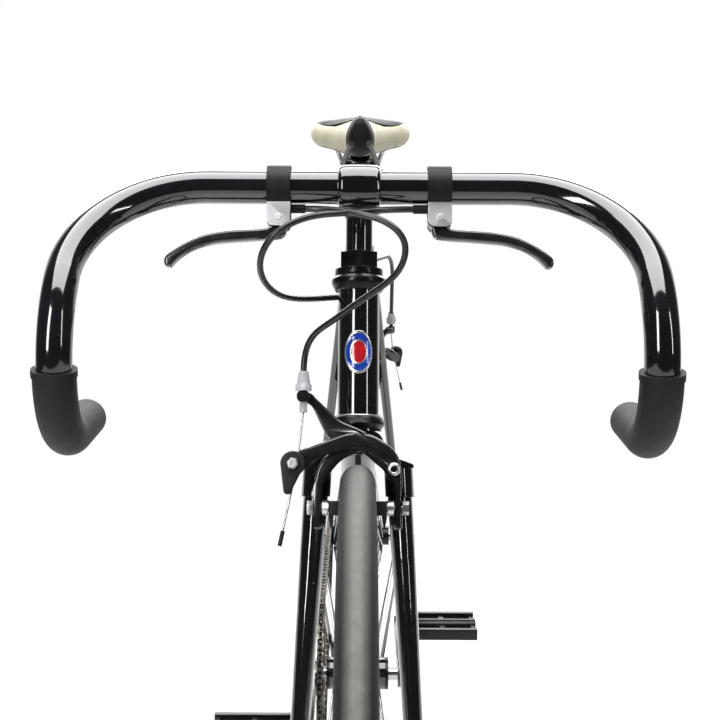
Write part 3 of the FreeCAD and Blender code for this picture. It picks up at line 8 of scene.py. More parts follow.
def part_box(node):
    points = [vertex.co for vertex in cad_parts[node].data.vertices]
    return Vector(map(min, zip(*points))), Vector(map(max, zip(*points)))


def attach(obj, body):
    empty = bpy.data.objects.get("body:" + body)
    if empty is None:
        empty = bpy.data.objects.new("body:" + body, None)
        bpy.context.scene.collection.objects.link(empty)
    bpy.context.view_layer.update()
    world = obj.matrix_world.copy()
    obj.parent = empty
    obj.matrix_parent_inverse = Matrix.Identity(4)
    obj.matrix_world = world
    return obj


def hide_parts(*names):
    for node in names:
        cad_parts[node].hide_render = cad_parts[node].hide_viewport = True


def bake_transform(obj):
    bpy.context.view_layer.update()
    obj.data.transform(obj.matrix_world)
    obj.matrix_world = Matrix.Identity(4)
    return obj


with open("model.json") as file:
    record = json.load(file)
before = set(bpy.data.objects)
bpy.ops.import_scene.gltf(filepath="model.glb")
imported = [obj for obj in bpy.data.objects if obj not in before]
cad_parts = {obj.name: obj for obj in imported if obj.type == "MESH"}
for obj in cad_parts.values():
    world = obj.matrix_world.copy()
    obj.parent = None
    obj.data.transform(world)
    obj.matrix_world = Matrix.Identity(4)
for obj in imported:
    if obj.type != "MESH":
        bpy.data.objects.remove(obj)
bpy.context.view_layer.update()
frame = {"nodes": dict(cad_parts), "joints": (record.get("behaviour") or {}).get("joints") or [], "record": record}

mm = 0.001
nodes = frame["nodes"]
joints = {joint["name"]: joint for joint in frame["joints"]}
bodyOf = {node: body for body, members in frame["record"]["behaviour"]["bodies"].items() for node in members}


def linear(hexText):
    # screen colour to amounts of light
    parts = [int(hexText[i:i + 2], 16) / 255 for i in (1, 3, 5)]
    return tuple(c / 12.92 if c <= 0.04045 else ((c + 0.055) / 1.055) ** 2.4 for c in parts) + (1.0,)


# camera: stands in front of the handlebar, a little above it, looking back along the bicycle
cameraView = {"lensMm": 61.27, "sensorMm": 36, "nearestMm": 10, "place": (0.0012, -1.3534, 0.8845),
              "downDegrees": 8.48, "rollDegrees": 0.3}
camera = bpy.data.objects.new("camera", bpy.data.cameras.new("camera"))
camera.data.lens = cameraView["lensMm"]
camera.data.sensor_width = cameraView["sensorMm"]
camera.data.clip_start = cameraView["nearestMm"] * mm
turn = Euler((math.radians(90 - cameraView["downDegrees"]), 0, 0)).to_matrix()
turn = turn @ Matrix.Rotation(math.radians(cameraView["rollDegrees"]), 3, "Z")
camera.matrix_world = Matrix.Translation(cameraView["place"]) @ turn.to_4x4()
bpy.context.scene.collection.objects.link(camera)
bpy.context.scene.camera = camera
bpy.context.scene.view_settings.view_transform = "Standard"


def addNode(tree, kind, settings=None, links=None):
    # capitals and numbers name sockets, small letters name the node's own settings
    node = tree.nodes.new(kind)
    for key, value in (settings or {}).items():
        if isinstance(key, int) or key[0].isupper():
            node.inputs[key].default_value = value
        else:
            setattr(node, key, value)
    for key, socket in (links or {}).items():
        tree.links.new(socket, node.inputs[key])
    return node


# where most values of one noise and of the sum of two lie, and the least roughness a finish may have
patternSpan = {"noise": (0.35, 0.65), "sum": (0.6, 1.4), "leastRough": 0.02}


def surface(name, colour, second, rough, roughSpread=0.1, metal=0.0, grainMm=1.0, grainDepthMm=0.02,
            mottleMm=30.0, coat=0.0, coatRough=0.03, stretch=(1, 1, 1), cells=False, specular=0.5):
    # colour drifts to a second tone over mottleMm, and the surface rises by grainDepthMm every grainMm
    material = bpy.data.materials.new(name)
    material.use_nodes = True
    tree = material.node_tree
    shader = tree.nodes["Principled BSDF"]
    place = addNode(tree, "ShaderNodeTexCoord").outputs["Object"]
    stretched = addNode(tree, "ShaderNodeMapping", {"Scale": stretch}, {"Vector": place}).outputs["Vector"]
    mottle = addNode(tree, "ShaderNodeTexNoise", {"Scale": 1 / (mottleMm * mm), "Detail": 4.0},
                     {"Vector": place}).outputs["Fac"]
    spread = addNode(tree, "ShaderNodeMapRange",
                     {"From Min": patternSpan["noise"][0], "From Max": patternSpan["noise"][1]},
                     {"Value": mottle}).outputs["Result"]
    tone = addNode(tree, "ShaderNodeMix", {"data_type": "RGBA", 6: linear(colour), 7: linear(second)},
                   {0: spread})
    tree.links.new(tone.outputs[2], shader.inputs["Base Color"])
    if cells:
        grain = addNode(tree, "ShaderNodeTexVoronoi", {"Scale": 1 / (grainMm * mm)},
                        {"Vector": stretched}).outputs["Distance"]
    else:
        grain = addNode(tree, "ShaderNodeTexNoise", {"Scale": 1 / (grainMm * mm), "Detail": 3.0},
                        {"Vector": stretched}).outputs["Fac"]
    blendAmount = addNode(tree, "ShaderNodeMath", {"operation": "ADD"}, {0: grain, 1: mottle}).outputs[0]
    polish = addNode(tree, "ShaderNodeMapRange",
                     {"From Min": patternSpan["sum"][0], "From Max": patternSpan["sum"][1],
                      "To Min": max(patternSpan["leastRough"], rough - roughSpread),
                      "To Max": rough + roughSpread},
                     {"Value": blendAmount}).outputs["Result"]
    tree.links.new(polish, shader.inputs["Roughness"])
    bump = addNode(tree, "ShaderNodeBump", {"Strength": 1.0, "Distance": grainDepthMm * mm},
                   {"Height": grain})
    tree.links.new(bump.outputs["Normal"], shader.inputs["Normal"])
    shader.inputs["Metallic"].default_value = metal
    shader.inputs["Coat Weight"].default_value = coat
    shader.inputs["Coat Roughness"].default_value = coatRough
    if not metal:
        shader.inputs["Specular IOR Level"].default_value = specular
    return material


# finishes: black parts differ by how sharply they mirror the room
# the real grain of metal, paint and nylon is too fine to show, so it is drawn coarser

# deep black with long clean highlights and faint orange peel
enamel = surface("stoved black enamel on steel", "#050506", "#0a0a0c", 0.1, 0.03, grainMm=2.5,
                 grainDepthMm=0.002, mottleMm=60, coat=1.0, coatRough=0.02)
# bright bands along the bar, blue-black in the shade
barPaint = surface("gloss black paint on drawn alloy", "#060608", "#0c0d11", 0.12, 0.04, grainMm=2.0,
                   grainDepthMm=0.002, mottleMm=40, coat=1.0, coatRough=0.03)
# soft bright lines along the eased edges of the brake arms
castBlack = surface("semi gloss black paint on forged alloy", "#09090b", "#121214", 0.24, 0.06, grainMm=0.6,
                    grainDepthMm=0.006, mottleMm=12, coat=0.8, coatRough=0.1)
# pale plate with a broad white glow
satinAlloy = surface("satin bright pressed alloy", "#e2e3e6", "#d6d7da", 0.38, 0.06, metal=1.0, grainMm=0.3,
                     grainDepthMm=0.006, mottleMm=9, stretch=(5, 1, 1))
# dark band with hardly any glare
bandBlack = surface("satin black powder coat on pressed steel", "#0a0a0b", "#111113", 0.5, 0.06, grainMm=0.5,
                    grainDepthMm=0.008, mottleMm=9, specular=0.2)
# dark, slightly oily rod
railBlack = surface("black oxide on bent rail steel", "#0c0c0e", "#151518", 0.4, 0.08, metal=0.3, grainMm=0.5,
                    grainDepthMm=0.006, mottleMm=10)
# dark metal with fine turning rings
anodised = surface("black anodised turned alloy", "#0d0d10", "#17171b", 0.24, 0.08, metal=0.5, grainMm=0.4,
                   grainDepthMm=0.004, mottleMm=8, stretch=(6, 1, 1))
# clean mirror metal with small cloudy marks
steel = surface("bright plated steel", "#c9cbcd", "#a9abae", 0.2, 0.08, metal=1.0, grainMm=0.5,
                grainDepthMm=0.004, mottleMm=6)
# pale brushed metal
alloy = surface("machined bright alloy", "#d2d3d3", "#b8babc", 0.34, 0.1, metal=1.0, grainMm=0.3,
                grainDepthMm=0.008, mottleMm=5, stretch=(1, 1, 4))
# even pale grey that keeps its shape in bright light
silverPaint = surface("silver paint on turned alloy", "#b4b5b8", "#a4a5a9", 0.42, 0.08, grainMm=0.4,
                      grainDepthMm=0.01, mottleMm=4)
# brown-grey metal with oily dark patches
chainSteel = surface("oiled chain steel", "#6a665f", "#34312d", 0.36, 0.14, metal=1.0, grainMm=0.8,
                     grainDepthMm=0.02, mottleMm=5)
# soft grey with a pebbled skin
gripRubber = surface("moulded charcoal rubber", "#0b0b0d", "#111113", 0.62, 0.08, grainMm=0.9,
                     grainDepthMm=0.07, mottleMm=15, cells=True, specular=0.3)
# dull blue-black blocks
shoeRubber = surface("moulded brake rubber", "#0b0c0e", "#121316", 0.6, 0.1, grainMm=0.5, grainDepthMm=0.03,
                     mottleMm=6, specular=0.3)
# grey tread rubber; the tread copies below keep this grey in the middle and darken the shoulders as painted shade,
# which reads as a broad sheen
tyreRubber = surface("rolled tyre rubber", "#5b5a57", "#676662", 0.6, 0.1, grainMm=0.7, grainDepthMm=0.03,
                     mottleMm=9, specular=0.3)
# even matte black
plastic = surface("moulded black nylon", "#0c0c0e", "#131316", 0.52, 0.06, grainMm=0.35, grainDepthMm=0.012,
                  mottleMm=10, specular=0.35)
# satin line of light along the cable
housing = surface("extruded black cable sleeve", "#101012", "#1a1a1d", 0.3, 0.05, grainMm=1.2,
                  grainDepthMm=0.006, mottleMm=14, stretch=(0.3, 0.3, 0.3))
# leather-like grain
vinylBlack = surface("grained black saddle vinyl", "#050506", "#0a0a0b", 0.56, 0.08, grainMm=1.1,
                     grainDepthMm=0.06, mottleMm=20, cells=True, specular=0.15)
# same grain in pale cream
vinylCream = surface("grained cream saddle vinyl", "#b9b49c", "#aca78f", 0.5, 0.08, grainMm=1.1,
                     grainDepthMm=0.06, mottleMm=20, cells=True)
# glassy red
badgeRed = surface("fired red badge enamel", "#c01a28", "#a81522", 0.15, 0.03, grainMm=1.5,
                   grainDepthMm=0.004, mottleMm=6, coat=0.3)
# glassy blue
badgeBlue = surface("fired blue badge enamel", "#1d3fae", "#17358f", 0.15, 0.03, grainMm=1.5,
                    grainDepthMm=0.004, mottleMm=6, coat=0.3)
print("stage 1: materials")

finishByNode = {
    "enamel": (enamel, ["head_tube", "top_tube", "down_tube", "seat_tube", "bottom_bracket_shell",
                        "chain_stays", "seat_stays", "fork"]),
    "bar": (barPaint, ["handlebar", "stem", "seatpost"]),
    "cast": (castBlack, ["lever_clamps", "front_brake_lever", "rear_brake_lever", "front_upper_arm",
                         "front_lower_arm", "rear_upper_arm", "rear_lower_arm", "front_brake_mount",
                         "rear_brake_mount", "right_crank", "left_crank"]),
    "anodised": (anodised, ["headset_cups", "headset_nuts", "bottom_bracket_cups", "seat_collar", "front_hub",
                            "rear_hub", "front_rim", "rear_rim", "right_pedal", "left_pedal"]),
    "steel": (steel, ["stem_bolts", "front_axle", "front_axle_nuts", "rear_axle", "rear_axle_nuts",
                      "front_spokes", "rear_spokes", "bottom_bracket_axle", "crank_bolts", "pedal_axles"]),
    "rail": (railBlack, ["saddle_rails"]),
    "chain": (chainSteel, ["chain", "chainring", "rear_sprocket"]),
    "grip": (gripRubber, ["grips"]),
    "shoe": (shoeRubber, ["front_upper_shoe", "front_lower_shoe", "rear_upper_shoe", "rear_lower_shoe"]),
    "tyre": (tyreRubber, ["front_tyre", "rear_tyre"]),
    "plastic": (plastic, ["front_release_lever", "rear_release_lever"]),
    "housing": (housing, ["front_brake_cable", "rear_brake_cable", "rear_brake_cable_loop"]),
    "saddle": (vinylBlack, ["saddle"]),
}
for material, names in finishByNode.values():
    for name in names:
        nodes[name].data.materials.clear()
        nodes[name].data.materials.append(material)
missing = set(nodes) - {name for _, names in finishByNode.values() for name in names}
print("stage 2: finishes on nodes, without one:", sorted(missing))


# how near points count as one, and which edges are rounded
edgePick = {"spotsPerMetre": 2e5, "weld": 2e-6, "flatDegrees": 0.6, "outlineDegrees": 50, "flatShare": 0.98,
            "longMm": 2.5, "longDegrees": 60, "driftShare": 0.2, "segments": 5, "turnedDegrees": 40,
            "easeSegments": 3, "easeDegrees": 32}


def islands(mesh):
    # groups of faces that share points, by place, so that each solid of a node can have its own finish
    spots = {}
    owner = []
    for vertex in mesh.vertices:
        key = tuple(round(value * edgePick["spotsPerMetre"]) for value in vertex.co)
        owner.append(spots.setdefault(key, len(spots)))
    root = list(range(len(spots)))

    def top(index):
        while root[index] != index:
            root[index] = root[root[index]]
            index = root[index]
        return index

    for face in mesh.polygons:
        first = top(owner[face.vertices[0]])
        for corner in face.vertices[1:]:
            root[top(owner[corner])] = first
    groups = {}
    for face in mesh.polygons:
        groups.setdefault(top(owner[face.vertices[0]]), []).append(face.index)
    return list(groups.values())


def boxOf(mesh, faces):
    points = [mesh.vertices[corner].co for face in faces for corner in mesh.polygons[face].vertices]
    return [min(p[k] for p in points) for k in range(3)], [max(p[k] for p in points) for k in range(3)]


def paint(mesh, material, faces):
    names = [slot.name for slot in mesh.materials]
    if material.name not in names:
        mesh.materials.append(material)
        names.append(material.name)
    index = names.index(material.name)
    for face in faces:
        mesh.polygons[face].material_index = index


def axisOf(jointName):
    joint = joints[jointName]
    return Vector(joint["pos_m"]), Vector(joint["axis"]).normalized()


def faceLine(mesh, face, point, axis):
    # how far a face's middle lies along an axis from a point, and how far off it
    offset = mesh.polygons[face].center - point
    along = offset.dot(axis)
    return along, (offset - axis * along).length


def outlineEdges(work, outward, clear):
    # edges round the flat faces of a plate, away from its bores
    picked = []
    for edge in work.edges:
        if len(edge.link_faces) != 2 or edge.calc_face_angle(0) < math.radians(edgePick["outlineDegrees"]):
            continue
        flatFaces = [face for face in edge.link_faces
                     if abs(face.normal.dot(outward)) > edgePick["flatShare"]]
        middle = (edge.verts[0].co + edge.verts[1].co) / 2
        away = True
        for point, axis, radius in clear:
            offset = middle - point
            away = away and (offset - axis * offset.dot(axis)).length > radius
        if len(flatFaces) == 1 and away:
            picked.append(edge)
    return picked


def longEdges(work):
    # long sharp corners of one material, such as those of a rubber block
    return [edge for edge in work.edges
            if len(edge.link_faces) == 2 and edge.calc_length() > edgePick["longMm"] * mm
            and edge.link_faces[0].material_index == edge.link_faces[1].material_index == 0
            and abs(edge.verts[0].co.x - edge.verts[1].co.x) < edgePick["driftShare"] * edge.calc_length()
            and edge.calc_face_angle(0) > math.radians(edgePick["longDegrees"])]


def softened(nodeName, widthMm, outward=None, plateMm=0, clear=(), smoothDegrees=38, longMm=0, shape=None):
    # the node's own form with its hard edges eased, so that they catch the light
    piece = bpy.data.objects.new(nodeName + "_eased", nodes[nodeName].data.copy())
    bpy.context.scene.collection.objects.link(piece)
    work = bmesh.new()
    work.from_mesh(piece.data)
    bmesh.ops.remove_doubles(work, verts=work.verts, dist=edgePick["weld"])
    bmesh.ops.dissolve_limit(work, angle_limit=math.radians(edgePick["flatDegrees"]), verts=work.verts,
                             edges=work.edges, delimit={"MATERIAL"})
    if outward:
        bmesh.ops.bevel(work, geom=outlineEdges(work, outward, clear), offset=plateMm * mm,
                        offset_type="OFFSET", segments=edgePick["segments"], profile=0.5, affect="EDGES",
                        clamp_overlap=False)
    if longMm:
        bmesh.ops.bevel(work, geom=longEdges(work), offset=longMm * mm, offset_type="OFFSET",
                        segments=edgePick["segments"], profile=0.5, affect="EDGES", clamp_overlap=False)
    work.to_mesh(piece.data)
    work.free()
    bevel = piece.modifiers.new("ease", "BEVEL")
    bevel.width = widthMm * mm
    bevel.segments = edgePick["easeSegments"]
    bevel.limit_method = "ANGLE"
    bevel.angle_limit = math.radians(edgePick["easeDegrees"])
    bevel.use_clamp_overlap = True
    seen = piece.evaluated_get(bpy.context.evaluated_depsgraph_get())
    mesh = bpy.data.meshes.new_from_object(seen)
    piece.modifiers.clear()
    piece.data = mesh
    if shape:
        shape(mesh)
    for face in mesh.polygons:
        face.use_smooth = True
    mesh.set_sharp_from_angle(angle=math.radians(smoothDegrees))
    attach(piece, bodyOf[nodeName])
    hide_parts(nodeName)
    return piece


def revolved(name, profile, middle, axis, around=40):
    # turns (radius, height) pairs in millimetres about an axis into a closed mesh
    axis = axis.normalized()
    side = axis.orthogonal().normalized()
    other = axis.cross(side)
    work = bmesh.new()
    rings = []
    for place, (radius, height) in enumerate(profile):
        spot = middle + axis * height * mm
        if place and (radius, height) == profile[0]:
            rings.append(rings[0])
        elif radius == 0:
            rings.append([work.verts.new(spot)] * around)
        else:
            angles = [2 * math.pi * k / around for k in range(around)]
            rays = [side * math.cos(angle) + other * math.sin(angle) for angle in angles]
            rings.append([work.verts.new(spot + ray * radius * mm) for ray in rays])
    for low, high in zip(rings, rings[1:]):
        for k in range(around):
            after = (k + 1) % around
            corners = []
            for corner in (low[k], low[after], high[after], high[k]):
                if corner not in corners:
                    corners.append(corner)
            work.faces.new(corners)
    bmesh.ops.recalc_face_normals(work, faces=work.faces)
    mesh = bpy.data.meshes.new(name)
    work.to_mesh(mesh)
    work.free()
    for face in mesh.polygons:
        face.use_smooth = True
    mesh.set_sharp_from_angle(angle=math.radians(edgePick["turnedDegrees"]))
    piece = bpy.data.objects.new(name, mesh)
    bpy.context.scene.collection.objects.link(piece)
    return piece


# brake parts: silver adjusters, nuts and bolts on black arms
# adjuster and thread heights are measured in each caliper's own plane from its centre bolt
armLook = {"easeMm": 2.4, "smallEaseMm": 0.4, "releaseEaseMm": 1.4, "shoeEaseMm": 0.8, "mountEaseMm": 0.8,
           "rubberMm": 2.4, "boltRadiusMm": 4.8, "adjusterFootMm": 38.02, "threadTopMm": 28.98,
           "threadFootMm": 20, "threadAcrossMm": 43.5, "threadHalfMm": 3.3, "washerFromMm": 22.4,
           "boltClearMm": 7.2, "pivotClearMm": 4.2, "anchorClearMm": 7.5, "adjusterClearMm": 12.5,
           "releaseClearMm": 4.5, "pivotSinkMm": 2.2, "anchorSinkMm": 2.8, "anchorCorners": 6}
# turned bolt heads: radius and height in millimetres
anchorCap = [(0, 0), (4.8, 0), (4.8, 2.8), (4.1, 3.6), (2.4, 3.7), (2.2, 3.2), (0, 3.1)]
pivotCap = [(0, 0), (5.4, 0), (5.4, 1.5), (5.0, 2.3), (4.2, 2.8), (3.1, 3.0), (2.6, 2.7), (2.4, 1.4),
            (0, 1.4)]
for end in ("front", "rear"):
    anchorPoint, anchorAxis = axisOf(end + "_release_turn")
    outward = anchorAxis * -1
    boltPoint = axisOf(end + "_upper_arm_close")[0]
    pivotPoint = axisOf(end + "_lower_arm_close")[0]
    rise = outward.cross(Vector((1, 0, 0))).normalized()
    rise = rise if rise.z > 0 else rise * -1
    armFace = max((vertex.co - anchorPoint).dot(outward)
                  for vertex in nodes[end + "_release_lever"].data.vertices)
    upper = nodes[end + "_upper_arm"].data
    bright = []
    for face in upper.polygons:
        offset = (face.center - boltPoint) / mm
        up = offset.dot(rise)
        besideThread = abs(abs(offset.x) - armLook["threadAcrossMm"]) < armLook["threadHalfMm"]
        onThread = besideThread and armLook["threadFootMm"] < up < armLook["threadTopMm"]
        if up > armLook["adjusterFootMm"] or onThread:
            bright.append(face.index)
    paint(upper, silverPaint, bright)
    lower = nodes[end + "_lower_arm"].data
    bolt = [face.index for face in lower.polygons
            if faceLine(lower, face.index, anchorPoint, outward)[0] > armFace
            and faceLine(lower, face.index, anchorPoint, outward)[1] < armLook["boltRadiusMm"] * mm]
    paint(lower, steel, bolt)
    for side in ("upper", "lower"):
        shoe = nodes[end + "_" + side + "_shoe"].data
        washers = [face.index for face in shoe.polygons if abs(face.center.x) > armLook["washerFromMm"] * mm]
        paint(shoe, alloy, washers)
        softened(end + "_" + side + "_shoe", armLook["shoeEaseMm"], longMm=armLook["rubberMm"])
    adjusterMiddle = sum((upper.polygons[face].center for face in bright), Vector()) / len(bright)
    clear = [(boltPoint, outward, armLook["boltClearMm"] * mm),
             (pivotPoint, outward, armLook["pivotClearMm"] * mm),
             (anchorPoint, outward, armLook["anchorClearMm"] * mm),
             (adjusterMiddle, rise, armLook["adjusterClearMm"] * mm)]
    for side in ("upper", "lower"):
        softened(end + "_" + side + "_arm", armLook["smallEaseMm"], outward=outward,
                 plateMm=armLook["easeMm"], clear=clear)
    softened(end + "_release_lever", armLook["smallEaseMm"], outward=outward,
             plateMm=armLook["releaseEaseMm"], clear=[(anchorPoint, outward, armLook["releaseClearMm"] * mm)])
    softened(end + "_brake_mount", armLook["mountEaseMm"])
    pinFront = max((vertex.co - pivotPoint).dot(outward)
                   for vertex in nodes[end + "_brake_mount"].data.vertices)
    capFoot = pivotPoint + outward * (pinFront - armLook["pivotSinkMm"] * mm)
    cap = revolved(end + "_pivot_bolt_head", pivotCap, capFoot, outward)
    cap.data.materials.append(alloy)
    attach(cap, bodyOf[end + "_brake_mount"])
    headFront = max((vertex.co - anchorPoint).dot(outward) for vertex in lower.vertices)
    headFoot = anchorPoint + outward * (headFront - armLook["anchorSinkMm"] * mm)
    head = revolved(end + "_anchor_bolt_head", anchorCap, headFoot, outward, around=armLook["anchorCorners"])
    head.data.materials.append(satinAlloy)
    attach(head, bodyOf[end + "_lower_arm"])
print("stage 3: brakes")


def partOf(nodeName, faces, newName):
    # some faces of a node as a piece of their own
    source = nodes[nodeName].data
    mesh = bpy.data.meshes.new(newName)
    spots = {}
    rows = []
    for face in faces:
        rows.append([spots.setdefault(corner, len(spots)) for corner in source.polygons[face].vertices])
    mesh.from_pydata([source.vertices[corner].co for corner in spots], [], rows)
    for material in source.materials:
        mesh.materials.append(material)
    for new, face in zip(mesh.polygons, faces):
        new.material_index = source.polygons[face].material_index
        new.use_smooth = True
    piece = bpy.data.objects.new(newName, mesh)
    bpy.context.scene.collection.objects.link(piece)
    return piece


# cables: black sleeve in one smooth sweep, bare steel wire and a dark crimped cap at its end
# the points of each sweep are in millimetres
cableLook = {"sleeveMm": 2.5, "capLengthMm": 12.5, "wireMm": 2.2, "roundSteps": 4, "alongSteps": 10,
             "order": 4}
frontSweep = [(-41, -414, 860.5), (-28, -414.5, 860.7), (-8, -430, 859.5), (20, -438, 854), (38, -443, 838),
              (31, -441, 812), (6, -429, 796), (-24, -409, 771), (-43.5, -385.5, 757), (-43.5, -392.2, 731.7)]
rearSweep = [(41, -414, 860.5), (29, -414.5, 860.5), (14, -425, 860), (-12, -426, 857.6), (-38, -438, 857),
             (-67, -448, 843), (-79, -432, 814), (-64, -380, 786), (-24, -322, 784), (0, -297, 782.9),
             (0, -275.6, 782.9)]


def sleeve(name, points):
    curve = bpy.data.curves.new(name, "CURVE")
    curve.dimensions = "3D"
    curve.bevel_depth = cableLook["sleeveMm"] * mm
    curve.bevel_resolution = cableLook["roundSteps"]
    curve.use_fill_caps = True
    spline = curve.splines.new("NURBS")
    spline.points.add(len(points) - 1)
    for point, place in zip(spline.points, points):
        point.co = (place[0] * mm, place[1] * mm, place[2] * mm, 1)
    spline.order_u = cableLook["order"]
    spline.use_endpoint_u = True
    spline.resolution_u = cableLook["alongSteps"]
    drawn = bpy.data.objects.new(name + "_line", curve)
    bpy.context.scene.collection.objects.link(drawn)
    mesh = bpy.data.meshes.new_from_object(drawn.evaluated_get(bpy.context.evaluated_depsgraph_get()))
    bpy.data.objects.remove(drawn)
    mesh.materials.clear()
    mesh.materials.append(housing)
    for face in mesh.polygons:
        face.use_smooth = True
    piece = bpy.data.objects.new(name, mesh)
    bpy.context.scene.collection.objects.link(piece)
    return piece


for name in ("front_brake_cable", "rear_brake_cable"):
    mesh = nodes[name].data
    parts = islands(mesh)
    lowest = min(parts, key=lambda part: boxOf(mesh, part)[0][2])
    for part in parts:
        low, high = boxOf(mesh, part)
        if part is lowest or min(high[k] - low[k] for k in range(3)) < cableLook["wireMm"] * mm:
            paint(mesh, steel, part)
    tip = min((vertex.co for vertex in mesh.vertices), key=lambda co: co.z)
    crimped = [face for face in lowest
               if (mesh.polygons[face].center - tip).length < cableLook["capLengthMm"] * mm]
    paint(mesh, plastic, crimped)
    if name == "front_brake_cable":
        wire = partOf(name, lowest, "front_cable_wire")
        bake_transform(wire)
        frontSleeve = sleeve("front_cable_sleeve", frontSweep)
        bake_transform(frontSleeve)
        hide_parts(name)
rearSleeve = sleeve("rear_cable_loop_sleeve", rearSweep)
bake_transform(rearSleeve)
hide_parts("rear_brake_cable_loop")
print("stage 4: cables")

# lever clamps: bright pressed plate and rivet below the black band
clampLook = {"barMiddleMm": (-408.1, 876.5), "bandMm": 16.9, "outsideMm": 50, "forward": -0.5, "easeMm": 1.6,
             "smoothDegrees": 16}
clampMesh = nodes["lever_clamps"].data
plate = []
for face in clampMesh.polygons:
    back = face.center.y / mm - clampLook["barMiddleMm"][0]
    rise = face.center.z / mm - clampLook["barMiddleMm"][1]
    below = face.normal.y < clampLook["forward"] and rise < 0 and back < 0
    offBand = math.hypot(back, rise) > clampLook["bandMm"]
    if below and offBand and abs(face.center.x) > clampLook["outsideMm"] * mm:
        plate.append(face.index)
paint(clampMesh, bandBlack, [face.index for face in clampMesh.polygons if face.index not in set(plate)])
paint(clampMesh, satinAlloy, plate)

# brake levers: rounded outlines along the whole blade, sharp only round the pin
leverLook = {"easeMm": 0.4, "plateMm": 2.2, "pinClearMm": 4.0}
for name in ("front_brake_lever", "rear_brake_lever"):
    leverPoint, leverAxis = axisOf(name.replace("_brake_lever", "_lever_squeeze"))
    softened(name, leverLook["easeMm"], outward=leverAxis, plateMm=leverLook["plateMm"],
             clear=[(leverPoint, leverAxis, leverLook["pinClearMm"] * mm)])

# stem: its clamp swells forward in the middle
stemLook = {"swellMm": 1.6, "halfMm": 21.0, "boreMm": 14, "reachMm": 24.0, "cuts": 9, "cutWithin": 1e-6,
            "easeMm": 1.2}


def swollen(mesh):
    # the stem's clamp is fuller in the middle than at its ends
    work = bmesh.new()
    work.from_mesh(mesh)
    half = stemLook["halfMm"] * mm
    for k in range(1, stemLook["cuts"] + 1):
        place = Vector((half * (2 * k / (stemLook["cuts"] + 1) - 1), 0, 0))
        bmesh.ops.bisect_plane(work, geom=work.verts[:] + work.edges[:] + work.faces[:],
                               dist=stemLook["cutWithin"], plane_co=place, plane_no=(1, 0, 0))
    barY, barZ = (value * mm for value in clampLook["barMiddleMm"])
    for vertex in work.verts:
        back, rise = vertex.co.y - barY, vertex.co.z - barZ
        away = math.hypot(back, rise)
        inClamp = stemLook["boreMm"] * mm < away < stemLook["reachMm"] * mm and abs(vertex.co.x) < half
        if back < 0 and inClamp:
            fullness = (1 - (vertex.co.x / half) ** 2) * min(1, -2 * back / away)
            swell = 1 + stemLook["swellMm"] * mm / away * fullness
            vertex.co.y = barY + back * swell
            vertex.co.z = barZ + rise * swell
    work.to_mesh(mesh)
    work.free()


softened("lever_clamps", clampLook["easeMm"], smoothDegrees=clampLook["smoothDegrees"])
softened("stem", stemLook["easeMm"], shape=swollen)

# other hard edges, by how far each is eased
edgeMm = {"fork": 1.2, "headset_nuts": 1.5, "headset_cups": 0.7, "seat_collar": 0.8, "right_crank": 2.0,
          "left_crank": 2.0, "right_pedal": 0.8, "left_pedal": 0.8, "front_hub": 0.5, "rear_hub": 0.5}
for name, width in edgeMm.items():
    softened(name, width)
print("stage 5: eased pieces")

# tyres: round carcass with a smooth middle and fine slanted file tread on the shoulders
# the near-black shoulder colour, and the span across which the tyre darkens to it, are painted shade on the sides
# of the tyre
tyreLook = {"around": 220, "across": 26, "treadMm": 1.6, "treadDepthMm": 0.12, "treadStrength": 0.8,
            "treadRadiusMm": 334, "slantPerMetre": 600.0, "treadFromMm": 4.5, "treadFullMm": 6.5,
            "shadeFromMm": 2.0, "shadeToMm": 9.2, "shoulder": "#121212", "wrapDegrees": 128, "wallMm": 2.0}


